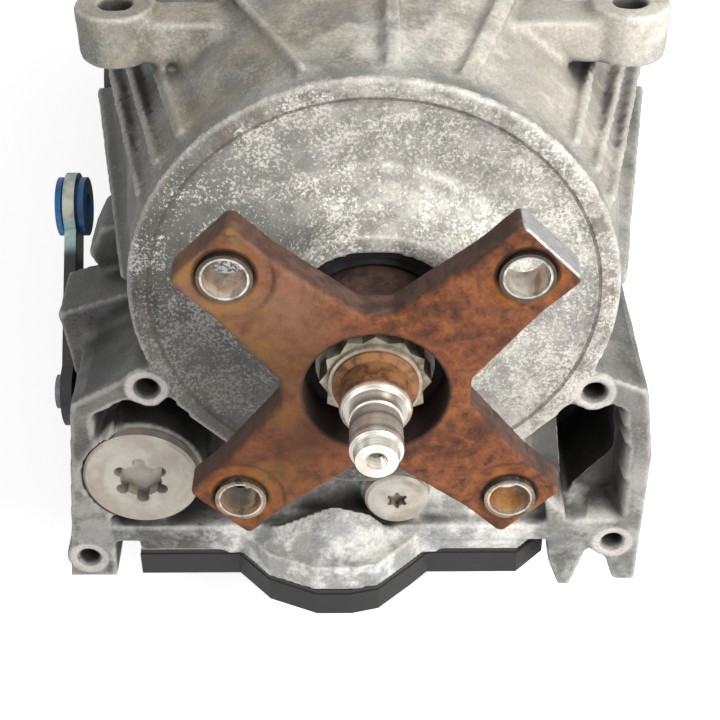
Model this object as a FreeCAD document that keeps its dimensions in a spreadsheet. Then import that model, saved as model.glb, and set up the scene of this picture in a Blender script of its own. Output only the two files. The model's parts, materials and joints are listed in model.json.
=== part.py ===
"""Automatic transmission for a car with a lengthwise engine, in millimetres.

The origin is the centre of the engine side face of the converter housing, on the shaft line.
+Y points to the engine, +Z up, +X to the right as seen from behind. A depth is a distance
behind the engine face, so a depth of 10 lies at y = -10.
"""
import FreeCAD, Part
import math
import os
import Sketcher

SIZES = [
    # Lengthwise stations, as depths behind the engine face
    ("housing_depth", 150),
    ("rim_depth", 560),
    ("flange_face_depth", 603),
    ("stub_depth", 630.2),
    ("cover_front_depth", 14),
    ("turbine_depth", 50),
    ("stator_depth", 84),
    ("pump_depth", 160),
    ("front_set_depth", 206),
    ("input_disc_depth", 233),
    ("clutch_e_depth", 243),
    ("clutch_a_depth", 268),
    ("clutch_b_depth", 294),
    ("brake_c_depth", 322),
    ("brake_d_depth", 346),
    ("rear_set_depth", 368),
    ("short_set_depth", 397),
    ("park_depth", 452),
    ("cavity_end_depth", 490),
    ("bearing_depth", 500),
    ("pan_front_depth", 214),
    # Converter housing
    ("bell_radius", 178),
    ("bell_flange", 12),
    ("bell_wall", 6),
    ("joint_radius", 150),
    ("bell_rear_radius", 133),
    ("engine_bolt_circle", 165),
    ("engine_bolt_hole", 5.5),
    ("engine_bolt_count", 8),
    ("engine_dowel_hole", 7),
    ("joint_bolt_circle", 142),
    ("joint_bolt_hole", 4.2),
    ("joint_bolt_count", 10),
    ("joint_flange", 14),
    # Main case
    ("case_radius", 102),
    ("cavity_radius", 94),
    ("ring_cavity_radius", 84),
    ("park_cavity_radius", 74),
    ("rim_radius", 73.1),
    ("rim_edge", 7),
    ("disc_radius", 66.8),
    ("disc_step", 1.6),
    ("collar_radius", 33),
    ("collar_height", 15),
    ("bearing_shoulder_radius", 24.5),
    ("rail_level", -106),
    ("rail_thickness", 10),
    ("frame_left", 95.5),
    ("frame_left_foot", 104.5),
    ("frame_right", 86),
    ("frame_right_foot", 90.7),
    ("frame_top", -35),
    ("frame_floor", -100),
    ("foot_level", -116.5),
    ("frame_wall", 7),
    ("frame_length", 90),
    ("pocket_depth", 24),
    ("deep_pocket_depth", 46),
    ("middle_depth", 7),
    ("mount_boss_radius", 7.6),
    ("mount_hole", 3.4),
    ("mount_hole_depth", 18),
    ("mount_depth_step", 0.6),
    ("mount_left_top_x", -70.6),
    ("mount_left_top_z", -33),
    ("mount_right_top_x", 68.9),
    ("mount_right_top_z", -35.5),
    ("mount_left_low_x", -97.2),
    ("mount_left_low_z", -107.5),
    ("mount_right_low_x", 81.2),
    ("mount_right_low_z", -101),
    ("rib_width", 6),
    ("rib_height", 6.5),
    ("rib_rear_height", 2.6),
    ("ledge_left", 103.6),
    ("ledge_top", -21),
    ("ledge_depth", 525),
    ("ledge_length", 25),
    ("hook_x", 66.5),
    ("hook_level", -123.5),
    ("lug_radius", 12),
    ("lug_top", 71),
    ("lug_length", 16),
    ("lug_side", 76),
    ("lug_depth", 507),
    ("lug_hole", 5.2),
    ("lug_hole_floor", 3),
    ("lug_web_inner", 32),
    ("lug_web_width", 17),
    ("lug_web_drop", 3),
    # Oil pan
    ("pan_half_width", 104),
    ("pan_rear_left", 80),
    ("pan_rear_right", 59.5),
    ("pan_taper_depth", 450),
    ("pan_rear_depth", 558),
    ("pan_nose", 19),
    ("pan_nose_left", 46),
    ("pan_nose_right", 18.6),
    ("pan_shallow", 9),
    ("pan_sump", 70),
    ("sump_rear_depth", 430),
    ("pan_wall", 3),
    ("sump_height", 24),
    ("pan_rim", 12),
    ("gasket_thickness", 2),
    ("pan_bolt", 3),
    ("pan_bolt_head", 5.6),
    ("pan_bolt_head_height", 5),
    ("pan_bolt_length", 16),
    # Gears
    ("gear_module", 1.75),
    ("sun_teeth", 36),
    ("planet_teeth", 18),
    ("ring_teeth", 72),
    ("small_sun_teeth", 27),
    ("gear_width", 16),
    ("tooth_slack", 0.16),
    ("tooth_slope", 0.364),
    ("ring_wall", 7),
    ("planet_pin", 5),
    ("running_gap", 0.05),
    ("side_gap", 1.5),
    ("carrier_plate", 5),
    ("column_radius", 6),
    # Pump
    ("pump_module", 3),
    ("pump_drive_teeth", 20),
    ("pump_ring_teeth", 26),
    ("pump_ring_wall", 7),
    ("pump_disc_radius", 118),
    ("pump_thickness", 26),
    ("pump_gear_width", 13),
    ("pump_cover_radius", 75),
    ("pump_cover_thickness", 8),
    # Converter
    ("converter_radius", 122),
    ("converter_wall", 4),
    ("converter_depth", 112),
    ("converter_hub_radius", 24),
    ("converter_hub_wall", 3),
    ("plate_bolt_circle", 98),
    ("plate_bolt_hole", 4.2),
    ("plate_bolt_count", 3),
    # Shafts and drums
    ("input_shaft_radius", 13.9),
    ("support_radius", 18),
    ("middle_shaft_radius", 10),
    ("small_sleeve_radius", 15),
    ("large_sleeve_radius", 20),
    ("drum_wall", 4),
    ("web", 4),
    ("outer_drum_radius", 82),
    ("pack_hub_radius", 57),
    ("pack_length", 14),
    ("plate_count", 4),
    ("plate_gap", 0.25),
    ("fringe_gap", 0.6),
    # Output
    ("output_shaft_radius", 18),
    ("bearing_seat_radius", 17.5),
    ("spline_radius", 16),
    ("thread_radius", 12),
    ("shaft_collar_radius", 10),
    ("stub_radius", 7.2),
    ("stub_length", 19),
    ("stub_centre_hole", 3),
    ("bearing_outer_radius", 36),
    ("bearing_width", 22),
    ("race_wall", 5),
    ("ball_radius", 5.2),
    ("ball_count", 11),
    ("seal_radius", 27.5),
    ("seal_width", 9),
    ("flange_hub_radius", 21),
    ("flange_thickness", 10.6),
    ("flange_bolt_circle", 55),
    ("flange_arm_reach", 64.5),
    ("flange_arm_half_width", 12),
    ("flange_notch_reach", 28),
    ("flange_recess_radius", 20),
    ("flange_recess_depth", 15),
    ("sleeve_radius", 7.4),
    ("sleeve_bore", 5.9),
    ("sleeve_proud", 0.8),
    ("nut_radius", 15.5),
    ("nut_length", 11),
    ("nut_step_radius", 13),
    # Plugs
    ("fill_plug_radius", 19),
    ("fill_plug_x", -76),
    ("fill_plug_z", -71.5),
    ("fill_thread_radius", 15),
    ("level_plug_radius", 10.6),
    ("level_plug_x", 7.8),
    ("level_plug_z", -81),
    ("level_thread_radius", 7),
    ("plug_head", 4),
    ("plug_thread_length", 14),
    ("drain_plug_radius", 11),
    # Park lock and selector
    ("park_teeth", 14),
    ("park_radius", 48),
    ("park_root_radius", 41),
    ("park_width", 14),
    ("pawl_pivot_radius", 64),
    ("pawl_pin_radius", 4),
    ("pawl_gap", 4),
    ("selector_depth", 512),
    ("selector_level", -73),
    ("selector_radius", 6),
    ("lever_offset", 108),
    ("lever_length", 66.2),
    ("lever_angle", 47.2),
    ("lever_thickness", 4),
    ("lever_eye_radius", 12),
    ("lever_bush_radius", 9),
    ("lever_bush_bore", 4.5),
    ("lever_bush_length", 10),
    ("detent_radius", 26),
    ("park_rod_radius", 2.5),
    ("chamber_left", 86),
    ("chamber_right", 34),
    # Hydraulics and electrics
    ("valve_body_length", 176),
    ("valve_body_half_width", 74),
    ("valve_body_height", 26),
    ("solenoid_radius", 9),
    ("solenoid_length", 34),
    ("solenoid_count", 6),
    ("filter_height", 14),
    ("filter_half_width", 60),
    ("filter_length", 120),
    ("connector_radius", 15),
    ("connector_length", 30),
    ("connector_depth", 300),
    ("connector_level", -62),
]

doc = FreeCAD.newDocument("automatic_transmission")
sheet = doc.addObject("Spreadsheet::Sheet", "Sizes")
for row, (name, number) in enumerate(SIZES, 1):
    sheet.set(f"A{row}", name)
    sheet.set(f"B{row}", str(number))
    sheet.setAlias(f"B{row}", name)
doc.recompute()


class Size:
    """A length with both its number and the sheet expression that it comes from."""

    def __init__(self, number, text):
        self.number = number
        self.text = text

    @staticmethod
    def of(value):
        return value if isinstance(value, Size) else Size(float(value), repr(float(value)))

    def __float__(self):
        return self.number

    def __add__(self, other):
        other = Size.of(other)
        return Size(self.number + other.number, f"({self.text} + {other.text})")

    def __sub__(self, other):
        other = Size.of(other)
        return Size(self.number - other.number, f"({self.text} - {other.text})")

    def __mul__(self, other):
        other = Size.of(other)
        return Size(self.number * other.number, f"({self.text} * {other.text})")

    def __truediv__(self, other):
        other = Size.of(other)
        return Size(self.number / other.number, f"({self.text} / {other.text})")

    def __neg__(self):
        return Size(-self.number, f"(-1 * {self.text})")

    def __radd__(self, other):
        return Size.of(other) + self

    def __rsub__(self, other):
        return Size.of(other) - self

    def __rmul__(self, other):
        return self * other


class Sizes:
    """The sheet's cells by name."""

    def __getattr__(self, name):
        return Size(float(sheet.get(name)), f"Sizes.{name}")


mm = Sizes()
pieces = {}


# Document helpers


def publish(label, obj):
    """Name a finished sub-part and list it for export."""
    obj.Label = label
    pieces[label] = obj
    return obj


def point(x, depth, z):
    """A position from its depth behind the engine face."""
    return FreeCAD.Vector(float(x), -float(depth), float(z))


def bind(obj, path, size):
    obj.setExpression(path, Size.of(size).text)


def place(obj, x, depth, z):
    bind(obj, "Placement.Base.x", x)
    bind(obj, "Placement.Base.y", -Size.of(depth))
    bind(obj, "Placement.Base.z", z)


def turn(obj, axis, degrees):
    obj.Placement.Rotation = FreeCAD.Rotation(FreeCAD.Vector(*axis), degrees)


def new_body(name):
    return doc.addObject("PartDesign::Body", name)


def sketch_on(body, role, offset=0):
    """A sketch on one of the body's own origin planes, moved along the plane's normal."""
    sketch = body.newObject("Sketcher::SketchObject", body.Name + "_sketch")
    plane = [feature for feature in body.Origin.OriginFeatures if feature.Role == role][0]
    sketch.AttachmentSupport = [(plane, "")]
    sketch.MapMode = "FlatFace"
    bind(sketch, "AttachmentOffset.Base.z", offset)
    return sketch


def tie(sketch, edge, end, x, y):
    """Hold one end or centre of an edge at a place bound to the sheet."""
    for axis, value, line in (("DistanceX", x, -2), ("DistanceY", y, -1)):
        value = Size.of(value)
        if value.number == 0:
            sketch.addConstraint(Sketcher.Constraint("PointOnObject", edge, end, line))
        else:
            index = sketch.addConstraint(Sketcher.Constraint(axis, -1, 1, edge, end, value.number))
            sketch.setExpression(f"Constraints[{index}]", value.text)


def polygon(sketch, points):
    """A closed outline of straight lines through points bound to the sheet."""
    first = sketch.GeometryCount
    count = len(points)
    corners = [FreeCAD.Vector(float(x), float(y), 0) for x, y in points]
    for index in range(count):
        line = Part.LineSegment(corners[index], corners[(index + 1) % count])
        sketch.addGeometry(line, False)
    for index in range(count):
        following = first + (index + 1) % count
        sketch.addConstraint(Sketcher.Constraint("Coincident", first + index, 2, following, 1))
    for index, (x, y) in enumerate(points):
        tie(sketch, first + index, 1, x, y)


def circle(sketch, x, y, radius):
    radius = Size.of(radius)
    centre = FreeCAD.Vector(float(x), float(y), 0)
    edge = sketch.addGeometry(Part.Circle(centre, FreeCAD.Vector(0, 0, 1), radius.number), False)
    tie(sketch, edge, 3, x, y)
    index = sketch.addConstraint(Sketcher.Constraint("Radius", edge, radius.number))
    sketch.setExpression(f"Constraints[{index}]", radius.text)


def turned(name, points):
    """A body turned about the shaft line from (radius, depth) points."""
    body = new_body(name)
    sketch = sketch_on(body, "XY_Plane")
    polygon(sketch, [(radius, -Size.of(depth)) for radius, depth in points])
    revolution = body.newObject("PartDesign::Revolution", name + "_turn")
    revolution.Profile = sketch
    revolution.ReferenceAxis = (sketch, ["V_Axis"])
    revolution.Angle = 360
    return body


def ring(name, inner, outer, front, length):
    """A plain ring about the shaft line."""
    rear = Size.of(front) + length
    return turned(name, [(inner, front), (outer, front), (outer, rear), (inner, rear)])


def plate(name, outline, front, length, holes=()):
    """A prism across the shaft line: an (x, z) outline padded rearward from a depth."""
    body = new_body(name)
    sketch = sketch_on(body, "XZ_Plane", front)
    polygon(sketch, outline)
    for x, z, radius in holes:
        circle(sketch, x, z, radius)
    pad = body.newObject("PartDesign::Pad", name + "_pad")
    pad.Profile = sketch
    bind(pad, "Length", length)
    return body


def slab(name, outline, bottom, height):
    """A level prism: an (x, depth) outline padded upward from a level."""
    body = new_body(name)
    sketch = sketch_on(body, "XY_Plane", bottom)
    polygon(sketch, [(x, -Size.of(depth)) for x, depth in outline])
    pad = body.newObject("PartDesign::Pad", name + "_pad")
    pad.Profile = sketch
    bind(pad, "Length", height)
    return body


def rod(name, radius, x, depth, z, length):
    """A cylinder along the shaft line that starts at a depth and runs rearward."""
    cylinder = doc.addObject("Part::Cylinder", name)
    bind(cylinder, "Radius", radius)
    bind(cylinder, "Height", length)
    turn(cylinder, (1, 0, 0), 90)
    place(cylinder, x, depth, z)
    return cylinder


def post(name, radius, x, depth, bottom, length):
    """An upright cylinder."""
    cylinder = doc.addObject("Part::Cylinder", name)
    bind(cylinder, "Radius", radius)
    bind(cylinder, "Height", length)
    place(cylinder, x, depth, bottom)
    return cylinder


def bar(name, radius, x, depth, z, length):
    """A cylinder that starts at x and runs to the right."""
    cylinder = doc.addObject("Part::Cylinder", name)
    bind(cylinder, "Radius", radius)
    bind(cylinder, "Height", length)
    turn(cylinder, (0, 1, 0), 90)
    place(cylinder, x, depth, z)
    return cylinder


def block(name, x, depth, z, width, length, height):
    """A box whose left, front, bottom corner is given; it runs rearward."""
    box = doc.addObject("Part::Box", name)
    bind(box, "Length", width)
    bind(box, "Width", length)
    bind(box, "Height", height)
    place(box, x, Size.of(depth) + length, z)
    return box


def joined(name, *shapes):
    fuse = doc.addObject("Part::MultiFuse", name + "_join")
    fuse.Shapes = list(shapes)
    fuse.Refine = False
    return fuse


def cut(name, base, *tools):
    result = doc.addObject("Part::Cut", name + "_cut")
    result.Base = base
    result.Tool = tools[0] if len(tools) == 1 else joined(name + "_tools", *tools)
    result.Refine = False
    return result


def feature(name, shape):
    """A piece whose outline is worked out by formula, so Part's functions make it."""
    obj = doc.addObject("Part::Feature", name)
    obj.Shape = shape
    return obj


def polar(radius, degrees):
    """(x, z) on a circle about the shaft line, at an angle from the right."""
    return (
        float(radius) * math.cos(math.radians(degrees)),
        float(radius) * math.sin(math.radians(degrees)),
    )


def around(radius, degrees):
    """As polar, but bound to the sheet."""
    return (
        radius * round(math.cos(math.radians(degrees)), 9),
        radius * round(math.sin(math.radians(degrees)), 9),
    )


# Toothed outlines


def toothed_wire(teeth, module, inward, first_tooth, centre, depth):
    """Straight flanked teeth on a pitch circle, with the first tooth at an angle in degrees."""
    count = round(float(teeth))
    pitch_radius = float(module) * count / 2
    half_pitch = math.pi / (2 * count) * (1 - float(mm.tooth_slack))
    tip = 0.8 * float(module)
    root = -1.05 * float(module)
    slope = float(mm.tooth_slope) / pitch_radius
    tip_half = half_pitch - tip * slope
    root_half = half_pitch - root * slope
    side = -1 if inward else 1
    points = []
    for tooth in range(count):
        middle = math.radians(first_tooth) + 2 * math.pi * tooth / count
        for height, half in ((root, -root_half), (tip, -tip_half), (tip, tip_half), (root, root_half)):
            radius = pitch_radius + side * height
            angle = middle + half
            x = centre[0] + radius * math.cos(angle)
            z = centre[1] + radius * math.sin(angle)
            points.append(point(x, depth, z))
    points.append(points[0])
    return Part.makePolygon(points)


def gear_shape(teeth, module, first_tooth, centre, depth, width, bore):
    """An outer gear with a round bore."""
    wire = toothed_wire(teeth, module, False, first_tooth, centre, depth)
    blank = Part.Face(wire).extrude(FreeCAD.Vector(0, -float(width), 0))
    return blank.cut(round_shape(bore, centre, depth, width))


def ring_gear_shape(teeth, module, first_tooth, centre, depth, width, outer):
    """An inner gear in a round rim."""
    wire = toothed_wire(teeth, module, True, first_tooth, centre, depth)
    opening = Part.Face(wire).extrude(FreeCAD.Vector(0, -float(width), 0))
    return round_shape(outer, centre, depth, width).cut(opening)


def round_shape(radius, centre, depth, length):
    """A cylinder along the shaft line."""
    start = point(centre[0], depth, centre[1])
    return Part.makeCylinder(float(radius), float(length), start, FreeCAD.Vector(0, -1, 0))


def meshing_tooth(angle, teeth, other_teeth, other_tooth):
    """The first tooth of a gear that meshes with another, which lies at this angle from it."""
    phase = (angle + 180 - other_tooth) * other_teeth / 360
    own = (0.5 - phase) % 1
    return angle - own * 360 / teeth


# Converter housing


def converter_housing():
    shell = turned(
        "housing_shell",
        [
            (mm.bell_radius, 0),
            (mm.bell_radius, mm.bell_flange),
            (mm.joint_radius + 8, mm.bell_flange + 14),
            (mm.bell_rear_radius, mm.housing_depth - mm.joint_flange),
            (mm.joint_radius, mm.housing_depth - mm.joint_flange),
            (mm.joint_radius, mm.housing_depth),
            (mm.pump_disc_radius + 4, mm.housing_depth),
            (mm.bell_rear_radius - mm.bell_wall, mm.housing_depth - mm.joint_flange),
            (mm.joint_radius + 8 - mm.bell_wall, mm.bell_flange + 14),
            (mm.joint_radius + 8 - mm.bell_wall, 0),
        ],
    )
    lugs = []
    holes = []
    step = 360 / float(mm.engine_bolt_count)
    for index in range(round(float(mm.engine_bolt_count))):
        x, z = around(mm.engine_bolt_circle, 22.5 + index * step)
        lugs.append(rod(f"housing_lug{index}", mm.engine_bolt_hole + 6, x, 0, z, mm.bell_flange + 8))
        holes.append(rod(f"housing_hole{index}", mm.engine_bolt_hole, x, -1, z, mm.bell_flange + 30))
    for index, degrees in enumerate((0, 180)):
        x, z = around(mm.engine_bolt_circle, degrees)
        holes.append(rod(f"housing_dowel{index}", mm.engine_dowel_hole, x, -1, z, mm.bell_flange + 30))
    step = 360 / float(mm.joint_bolt_count)
    for index in range(round(float(mm.joint_bolt_count))):
        x, z = around(mm.joint_bolt_circle, 18 + index * step)
        start = mm.housing_depth - mm.joint_flange - 4
        holes.append(rod(f"housing_joint_hole{index}", mm.joint_bolt_hole, x, start, z, 30))
    ribs = []
    for index in range(round(float(mm.joint_bolt_count))):
        ribs.append(housing_rib(index * step))
    whole = joined("converter_housing", shell, *lugs, feature("housing_ribs", joined_shape(ribs)))
    publish("converter_housing", cut("converter_housing", whole, *holes))


def housing_rib(degrees):
    """A thin outer rib from the engine flange back to the joint flange."""
    front = mm.bell_flange - 1
    rear = mm.housing_depth - mm.joint_flange + 1
    outline = [
        (mm.joint_radius + 5, front),
        (mm.joint_radius + 16, front),
        (mm.joint_radius - 4, rear),
        (mm.bell_rear_radius - 3, rear),
    ]
    return radial_slab(outline, 5, degrees)


def radial_slab(outline, thickness, degrees):
    """A flat web in a plane through the shaft line, from (radius, depth) points."""
    points = [point(radius, depth, -thickness / 2) for radius, depth in outline]
    shape = Part.Face(Part.makePolygon(points + points[:1])).extrude(FreeCAD.Vector(0, 0, thickness))
    shape.rotate(FreeCAD.Vector(), FreeCAD.Vector(0, -1, 0), degrees)
    return shape


def joined_shape(shapes):
    if len(shapes) == 1:
        return shapes[0]
    return shapes[0].fuse(shapes[1:])


def housing_bolts():
    """Hexagon screws that hold the case to the converter housing."""
    screws = []
    count = round(float(mm.joint_bolt_count))
    for index in range(count):
        x, z = polar(mm.joint_bolt_circle, 18 + index * 360 / count)
        head_depth = mm.housing_depth - mm.joint_flange - 5.5
        shank = round_shape(mm.joint_bolt_hole - 0.3, (x, z), head_depth, mm.joint_flange + 18)
        screws.append(hexagon(6.5, (x, z), head_depth, 5.5).fuse(shank))
    publish("housing_bolts", feature("housing_bolts", Part.makeCompound(screws)))


def hexagon(half_width, centre, depth, length):
    corner = half_width / math.cos(math.pi / 6)
    points = []
    for index in range(7):
        x = centre[0] + corner * math.cos(index * math.pi / 3)
        z = centre[1] + corner * math.sin(index * math.pi / 3)
        points.append(point(x, depth, z))
    return Part.Face(Part.makePolygon(points)).extrude(FreeCAD.Vector(0, -float(length), 0))


# Main case


def tail_profile():
    """(radius, depth) of the tapered tail's skin, from the gear chamber back to the rim."""
    rim = mm.rim_depth
    return [
        (mm.case_radius, rim - 175),
        (mm.case_radius - 5, rim - 150),
        (mm.rim_radius + 17.4, rim - 114),
        (mm.rim_radius + 7.9, rim - 63),
        (mm.rim_radius + 3.2, rim - 27),
        (mm.rim_radius + 0.8, rim - 15),
        (mm.rim_radius, rim - mm.rim_edge),
    ]


def case_outer(depth):
    """The outer radius of the tapered tail at a depth."""
    stations = [(float(radius), float(place)) for radius, place in tail_profile()]
    for (wide, near), (narrow, far) in zip(stations, stations[1:]):
        if depth <= far:
            return wide + (narrow - wide) * (depth - near) / (far - near)
    return stations[-1][0]


def main_case():
    rim = mm.rim_depth
    shell = turned(
        "case_shell",
        [
            (mm.joint_radius, mm.housing_depth),
            (mm.joint_radius, mm.housing_depth + mm.joint_flange),
            (mm.pump_disc_radius + 10, mm.housing_depth + mm.joint_flange + 12),
            (mm.case_radius + 3, mm.housing_depth + 58),
            *tail_profile(),
            (mm.rim_radius, rim),
            (mm.disc_radius, rim),
            (mm.disc_radius, rim - mm.disc_step),
            (mm.collar_radius + 12, rim - mm.disc_step),
            (mm.collar_radius + 3, rim + mm.collar_height * 0.35),
            (mm.collar_radius, rim + mm.collar_height),
            (mm.seal_radius, rim + mm.collar_height),
            (mm.seal_radius, rim + mm.collar_height - mm.seal_width - 2),
            (mm.bearing_shoulder_radius, rim + mm.collar_height - mm.seal_width - 2),
            (mm.bearing_shoulder_radius, mm.bearing_depth + mm.bearing_width),
            (mm.bearing_outer_radius, mm.bearing_depth + mm.bearing_width),
            (mm.bearing_outer_radius, mm.cavity_end_depth),
            (mm.park_cavity_radius, mm.cavity_end_depth),
            (mm.park_cavity_radius, mm.park_depth - 7),
            (mm.ring_cavity_radius, mm.park_depth - 7),
            (mm.ring_cavity_radius, mm.rear_set_depth + 8),
            (mm.cavity_radius, mm.rear_set_depth + 8),
            (mm.cavity_radius, mm.pump_depth + mm.pump_thickness),
            (mm.pump_disc_radius + 0.05, mm.pump_depth + mm.pump_thickness),
            (mm.pump_disc_radius + 0.05, mm.housing_depth),
        ],
    )
    frame_front = rim - mm.frame_length
    frame = plate(
        "case_frame",
        [
            (-mm.frame_left, mm.frame_top - 5),
            (-mm.frame_left_foot, mm.foot_level),
            (-(mm.frame_left_foot - 16), mm.foot_level),
            (-(mm.frame_left_foot - 17), mm.frame_floor),
            (mm.frame_right_foot - 14, mm.frame_floor),
            (mm.frame_right_foot - 7.6, mm.foot_level - 3),
            (mm.frame_right_foot, mm.foot_level - 3),
            (mm.frame_right + 4, mm.frame_top - 26),
            (mm.frame_right, mm.frame_top),
            (mm.mount_right_top_x, mm.mount_right_top_z + mm.mount_boss_radius),
            (mm.rim_radius * 0.6, mm.mount_right_top_z + 10),
            (-mm.rim_radius * 0.6, mm.mount_left_top_z + 10),
            (mm.mount_left_top_x, mm.mount_left_top_z + mm.mount_boss_radius),
        ],
        frame_front,
        mm.frame_length,
    )
    rail_outline = pan_outline(0)
    rail = slab("case_rail", rail_outline, mm.rail_level, mm.rail_thickness)
    skirt = slab("case_skirt", pan_outline(mm.pan_rim - 2, False), mm.rail_level, -mm.rail_level - 30)
    ledge = plate(
        "case_ledge",
        [
            (-mm.ledge_left, mm.ledge_top - 9),
            (-(mm.ledge_left - 25.5), mm.ledge_top),
            (-(mm.ledge_left - 45), mm.ledge_top + 5),
            (-(mm.ledge_left - 45), mm.frame_floor),
            (-(mm.ledge_left - 6), mm.frame_floor),
            (-(mm.ledge_left - 1), mm.ledge_top - 45),
            (-(mm.ledge_left - 3), mm.ledge_top - 35),
        ],
        mm.ledge_depth - mm.ledge_length,
        mm.ledge_length,
    )
    ledge_step = plate(
        "case_ledge_step",
        [
            (-(mm.ledge_left - 9), mm.ledge_top + 3),
            (-(mm.ledge_left - 14), mm.ledge_top + 13),
            (-(mm.ledge_left - 27), mm.ledge_top + 17),
            (-(mm.ledge_left - 45), mm.ledge_top + 5),
            (-(mm.ledge_left - 20), mm.ledge_top - 20),
        ],
        mm.ledge_depth - mm.ledge_length * 1.6,
        mm.ledge_length * 0.9,
    )
    hook = plate(
        "case_hook",
        [
            (mm.hook_x - 8, mm.frame_floor + 2),
            (mm.hook_x + 8, mm.frame_floor + 2),
            (mm.hook_x + 5, mm.rail_level - 6),
            (mm.hook_x + 2, mm.hook_level),
            (mm.hook_x - 2, mm.hook_level),
            (mm.hook_x - 6, mm.rail_level - 6),
        ],
        rim - 12,
        11,
    )
    lumps = []
    for index, x in enumerate((mm.pan_nose_right + 1, -mm.pan_nose_left - 2)):
        lumps.append(post(f"case_lump{index}", 4, x, mm.pan_rear_depth - 2, mm.rail_level,
                          mm.rail_thickness - 1))
    bosses = []
    mount_holes = []
    for index, (x, z) in enumerate(mount_places()):
        start = rim - mm.deep_pocket_depth
        bosses.append(rod(f"mount_boss{index}", mm.mount_boss_radius, x, start, z, mm.deep_pocket_depth))
        deep = mm.mount_hole_depth + mm.mount_depth_step * (3 - index)
        mount_holes.append(rod(f"mount_hole{index}", mm.mount_hole, x, rim - deep, z, deep + 1))
        chamfer = doc.addObject("Part::Cone", f"mount_chamfer{index}")
        bind(chamfer, "Radius1", mm.mount_hole)
        bind(chamfer, "Radius2", mm.mount_hole + 1.2)
        bind(chamfer, "Height", 1.2)
        turn(chamfer, (1, 0, 0), 90)
        place(chamfer, x, rim - 1.2, z)
        mount_holes.append(chamfer)
    fill_boss = rod(
        "fill_boss", mm.fill_plug_radius + 1.5, mm.fill_plug_x, rim - mm.pocket_depth - 2,
        mm.fill_plug_z, mm.pocket_depth - mm.plug_head + 2,
    )
    level_boss = rod(
        "level_boss", mm.level_plug_radius + 1.5, mm.level_plug_x, rim - 30,
        mm.level_plug_z, 30 - mm.plug_head,
    )
    left_pocket = plate(
        "left_pocket",
        [
            (-mm.frame_left + mm.frame_wall + 6, mm.frame_top - 13),
            (mm.mount_left_top_x + 2, mm.mount_left_top_z - 9),
            (-(mm.rim_radius * 0.8), mm.frame_top - 12),
            (-(mm.rim_radius * 0.55), mm.frame_top - 30),
            (-(mm.rim_radius * 0.62), mm.frame_floor + mm.frame_wall),
            (-(mm.frame_left_foot - mm.frame_wall - 11), mm.frame_floor + mm.frame_wall),
        ],
        rim - mm.pocket_depth,
        mm.pocket_depth + 1,
    )
    right_pocket = plate(
        "right_pocket",
        [
            (mm.frame_right - mm.frame_wall - 1, mm.mount_right_top_z - 9),
            (mm.frame_right - mm.frame_wall + 1, mm.frame_top - 30),
            (mm.frame_right_foot - mm.frame_wall - 2, mm.frame_floor + 12),
            (mm.frame_right_foot - 26, mm.frame_floor + 8),
            (mm.rim_radius * 0.8, mm.mount_right_top_z - 10),
        ],
        rim - mm.deep_pocket_depth,
        mm.deep_pocket_depth + 1,
    )
    middle_recess = plate(
        "middle_recess",
        [
            (-(mm.rim_radius * 0.55), mm.frame_floor + mm.frame_wall),
            (mm.frame_right_foot - 32, mm.frame_floor + mm.frame_wall),
            (mm.rim_radius * 0.7, mm.frame_top - 12),
            (-(mm.rim_radius * 0.45), mm.frame_top - 30),
        ],
        rim - mm.middle_depth,
        mm.middle_depth + 1,
    )
    fill_seat = rod(
        "fill_seat", mm.fill_plug_radius + 0.4, mm.fill_plug_x, rim - mm.plug_head,
        mm.fill_plug_z, mm.plug_head + 1,
    )
    chamber = block(
        "selector_chamber", -mm.chamber_left, chamber_front(), mm.rail_level - 1,
        mm.chamber_left - mm.chamber_right, mm.selector_depth - chamber_front() + 21,
        -mm.rail_level + mm.frame_top - 3,
    )
    sump_opening = slab("sump_opening", sump_window(), mm.rail_level - 1, mm.sump_height)
    fill_hole = rod(
        "fill_hole", mm.fill_thread_radius + 0.05, mm.fill_plug_x, rim - mm.pocket_depth - 6,
        mm.fill_plug_z, mm.pocket_depth + 7,
    )
    level_hole = rod(
        "level_hole", mm.level_thread_radius + 0.05, mm.level_plug_x, rim - 20,
        mm.level_plug_z, 21,
    )
    level_seat = rod(
        "level_seat", mm.level_plug_radius + 0.3, mm.level_plug_x, rim - mm.plug_head,
        mm.level_plug_z, mm.plug_head + 1,
    )
    selector_hole = bar(
        "selector_hole", mm.selector_radius + mm.running_gap, -mm.lever_offset - 20, mm.selector_depth,
        mm.selector_level, mm.lever_offset - mm.chamber_right + 15,
    )
    selector_boss = bar(
        "selector_boss", mm.selector_radius + 5, -(mm.lever_offset - mm.lever_thickness - 1),
        mm.selector_depth, mm.selector_level, mm.lever_offset - mm.chamber_left,
    )
    connector_hole = bar(
        "connector_hole", mm.connector_radius + 0.05, -mm.pan_half_width - 30, mm.connector_depth,
        mm.connector_level, 70,
    )
    connector_boss = bar(
        "connector_boss", mm.connector_radius + 5, -mm.pan_half_width - 2, mm.connector_depth,
        mm.connector_level, 40,
    )
    pin_hole = pawl_pin_rod("pawl_pin_hole", mm.pawl_pin_radius + 0.02, 8)
    joint_holes = []
    step = 360 / float(mm.joint_bolt_count)
    for index in range(round(float(mm.joint_bolt_count))):
        x, z = around(mm.joint_bolt_circle, 18 + index * step)
        start = mm.housing_depth - 1
        joint_holes.append(rod(f"case_joint_hole{index}", mm.joint_bolt_hole, x, start, z,
                               mm.joint_flange + 8))
    pan_holes = []
    for index, (x, depth) in enumerate(pan_bolt_places()):
        hole = post(f"case_pan_hole{index}", mm.pan_bolt + 0.05, x, depth, mm.rail_level - 1,
                    mm.rail_thickness)
        pan_holes.append(hole)
    lugs = feature("case_lugs", joined_shape([side_lug(-1), side_lug(1)]))
    ribs = feature("case_ribs", joined_shape(tail_ribs()))
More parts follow.
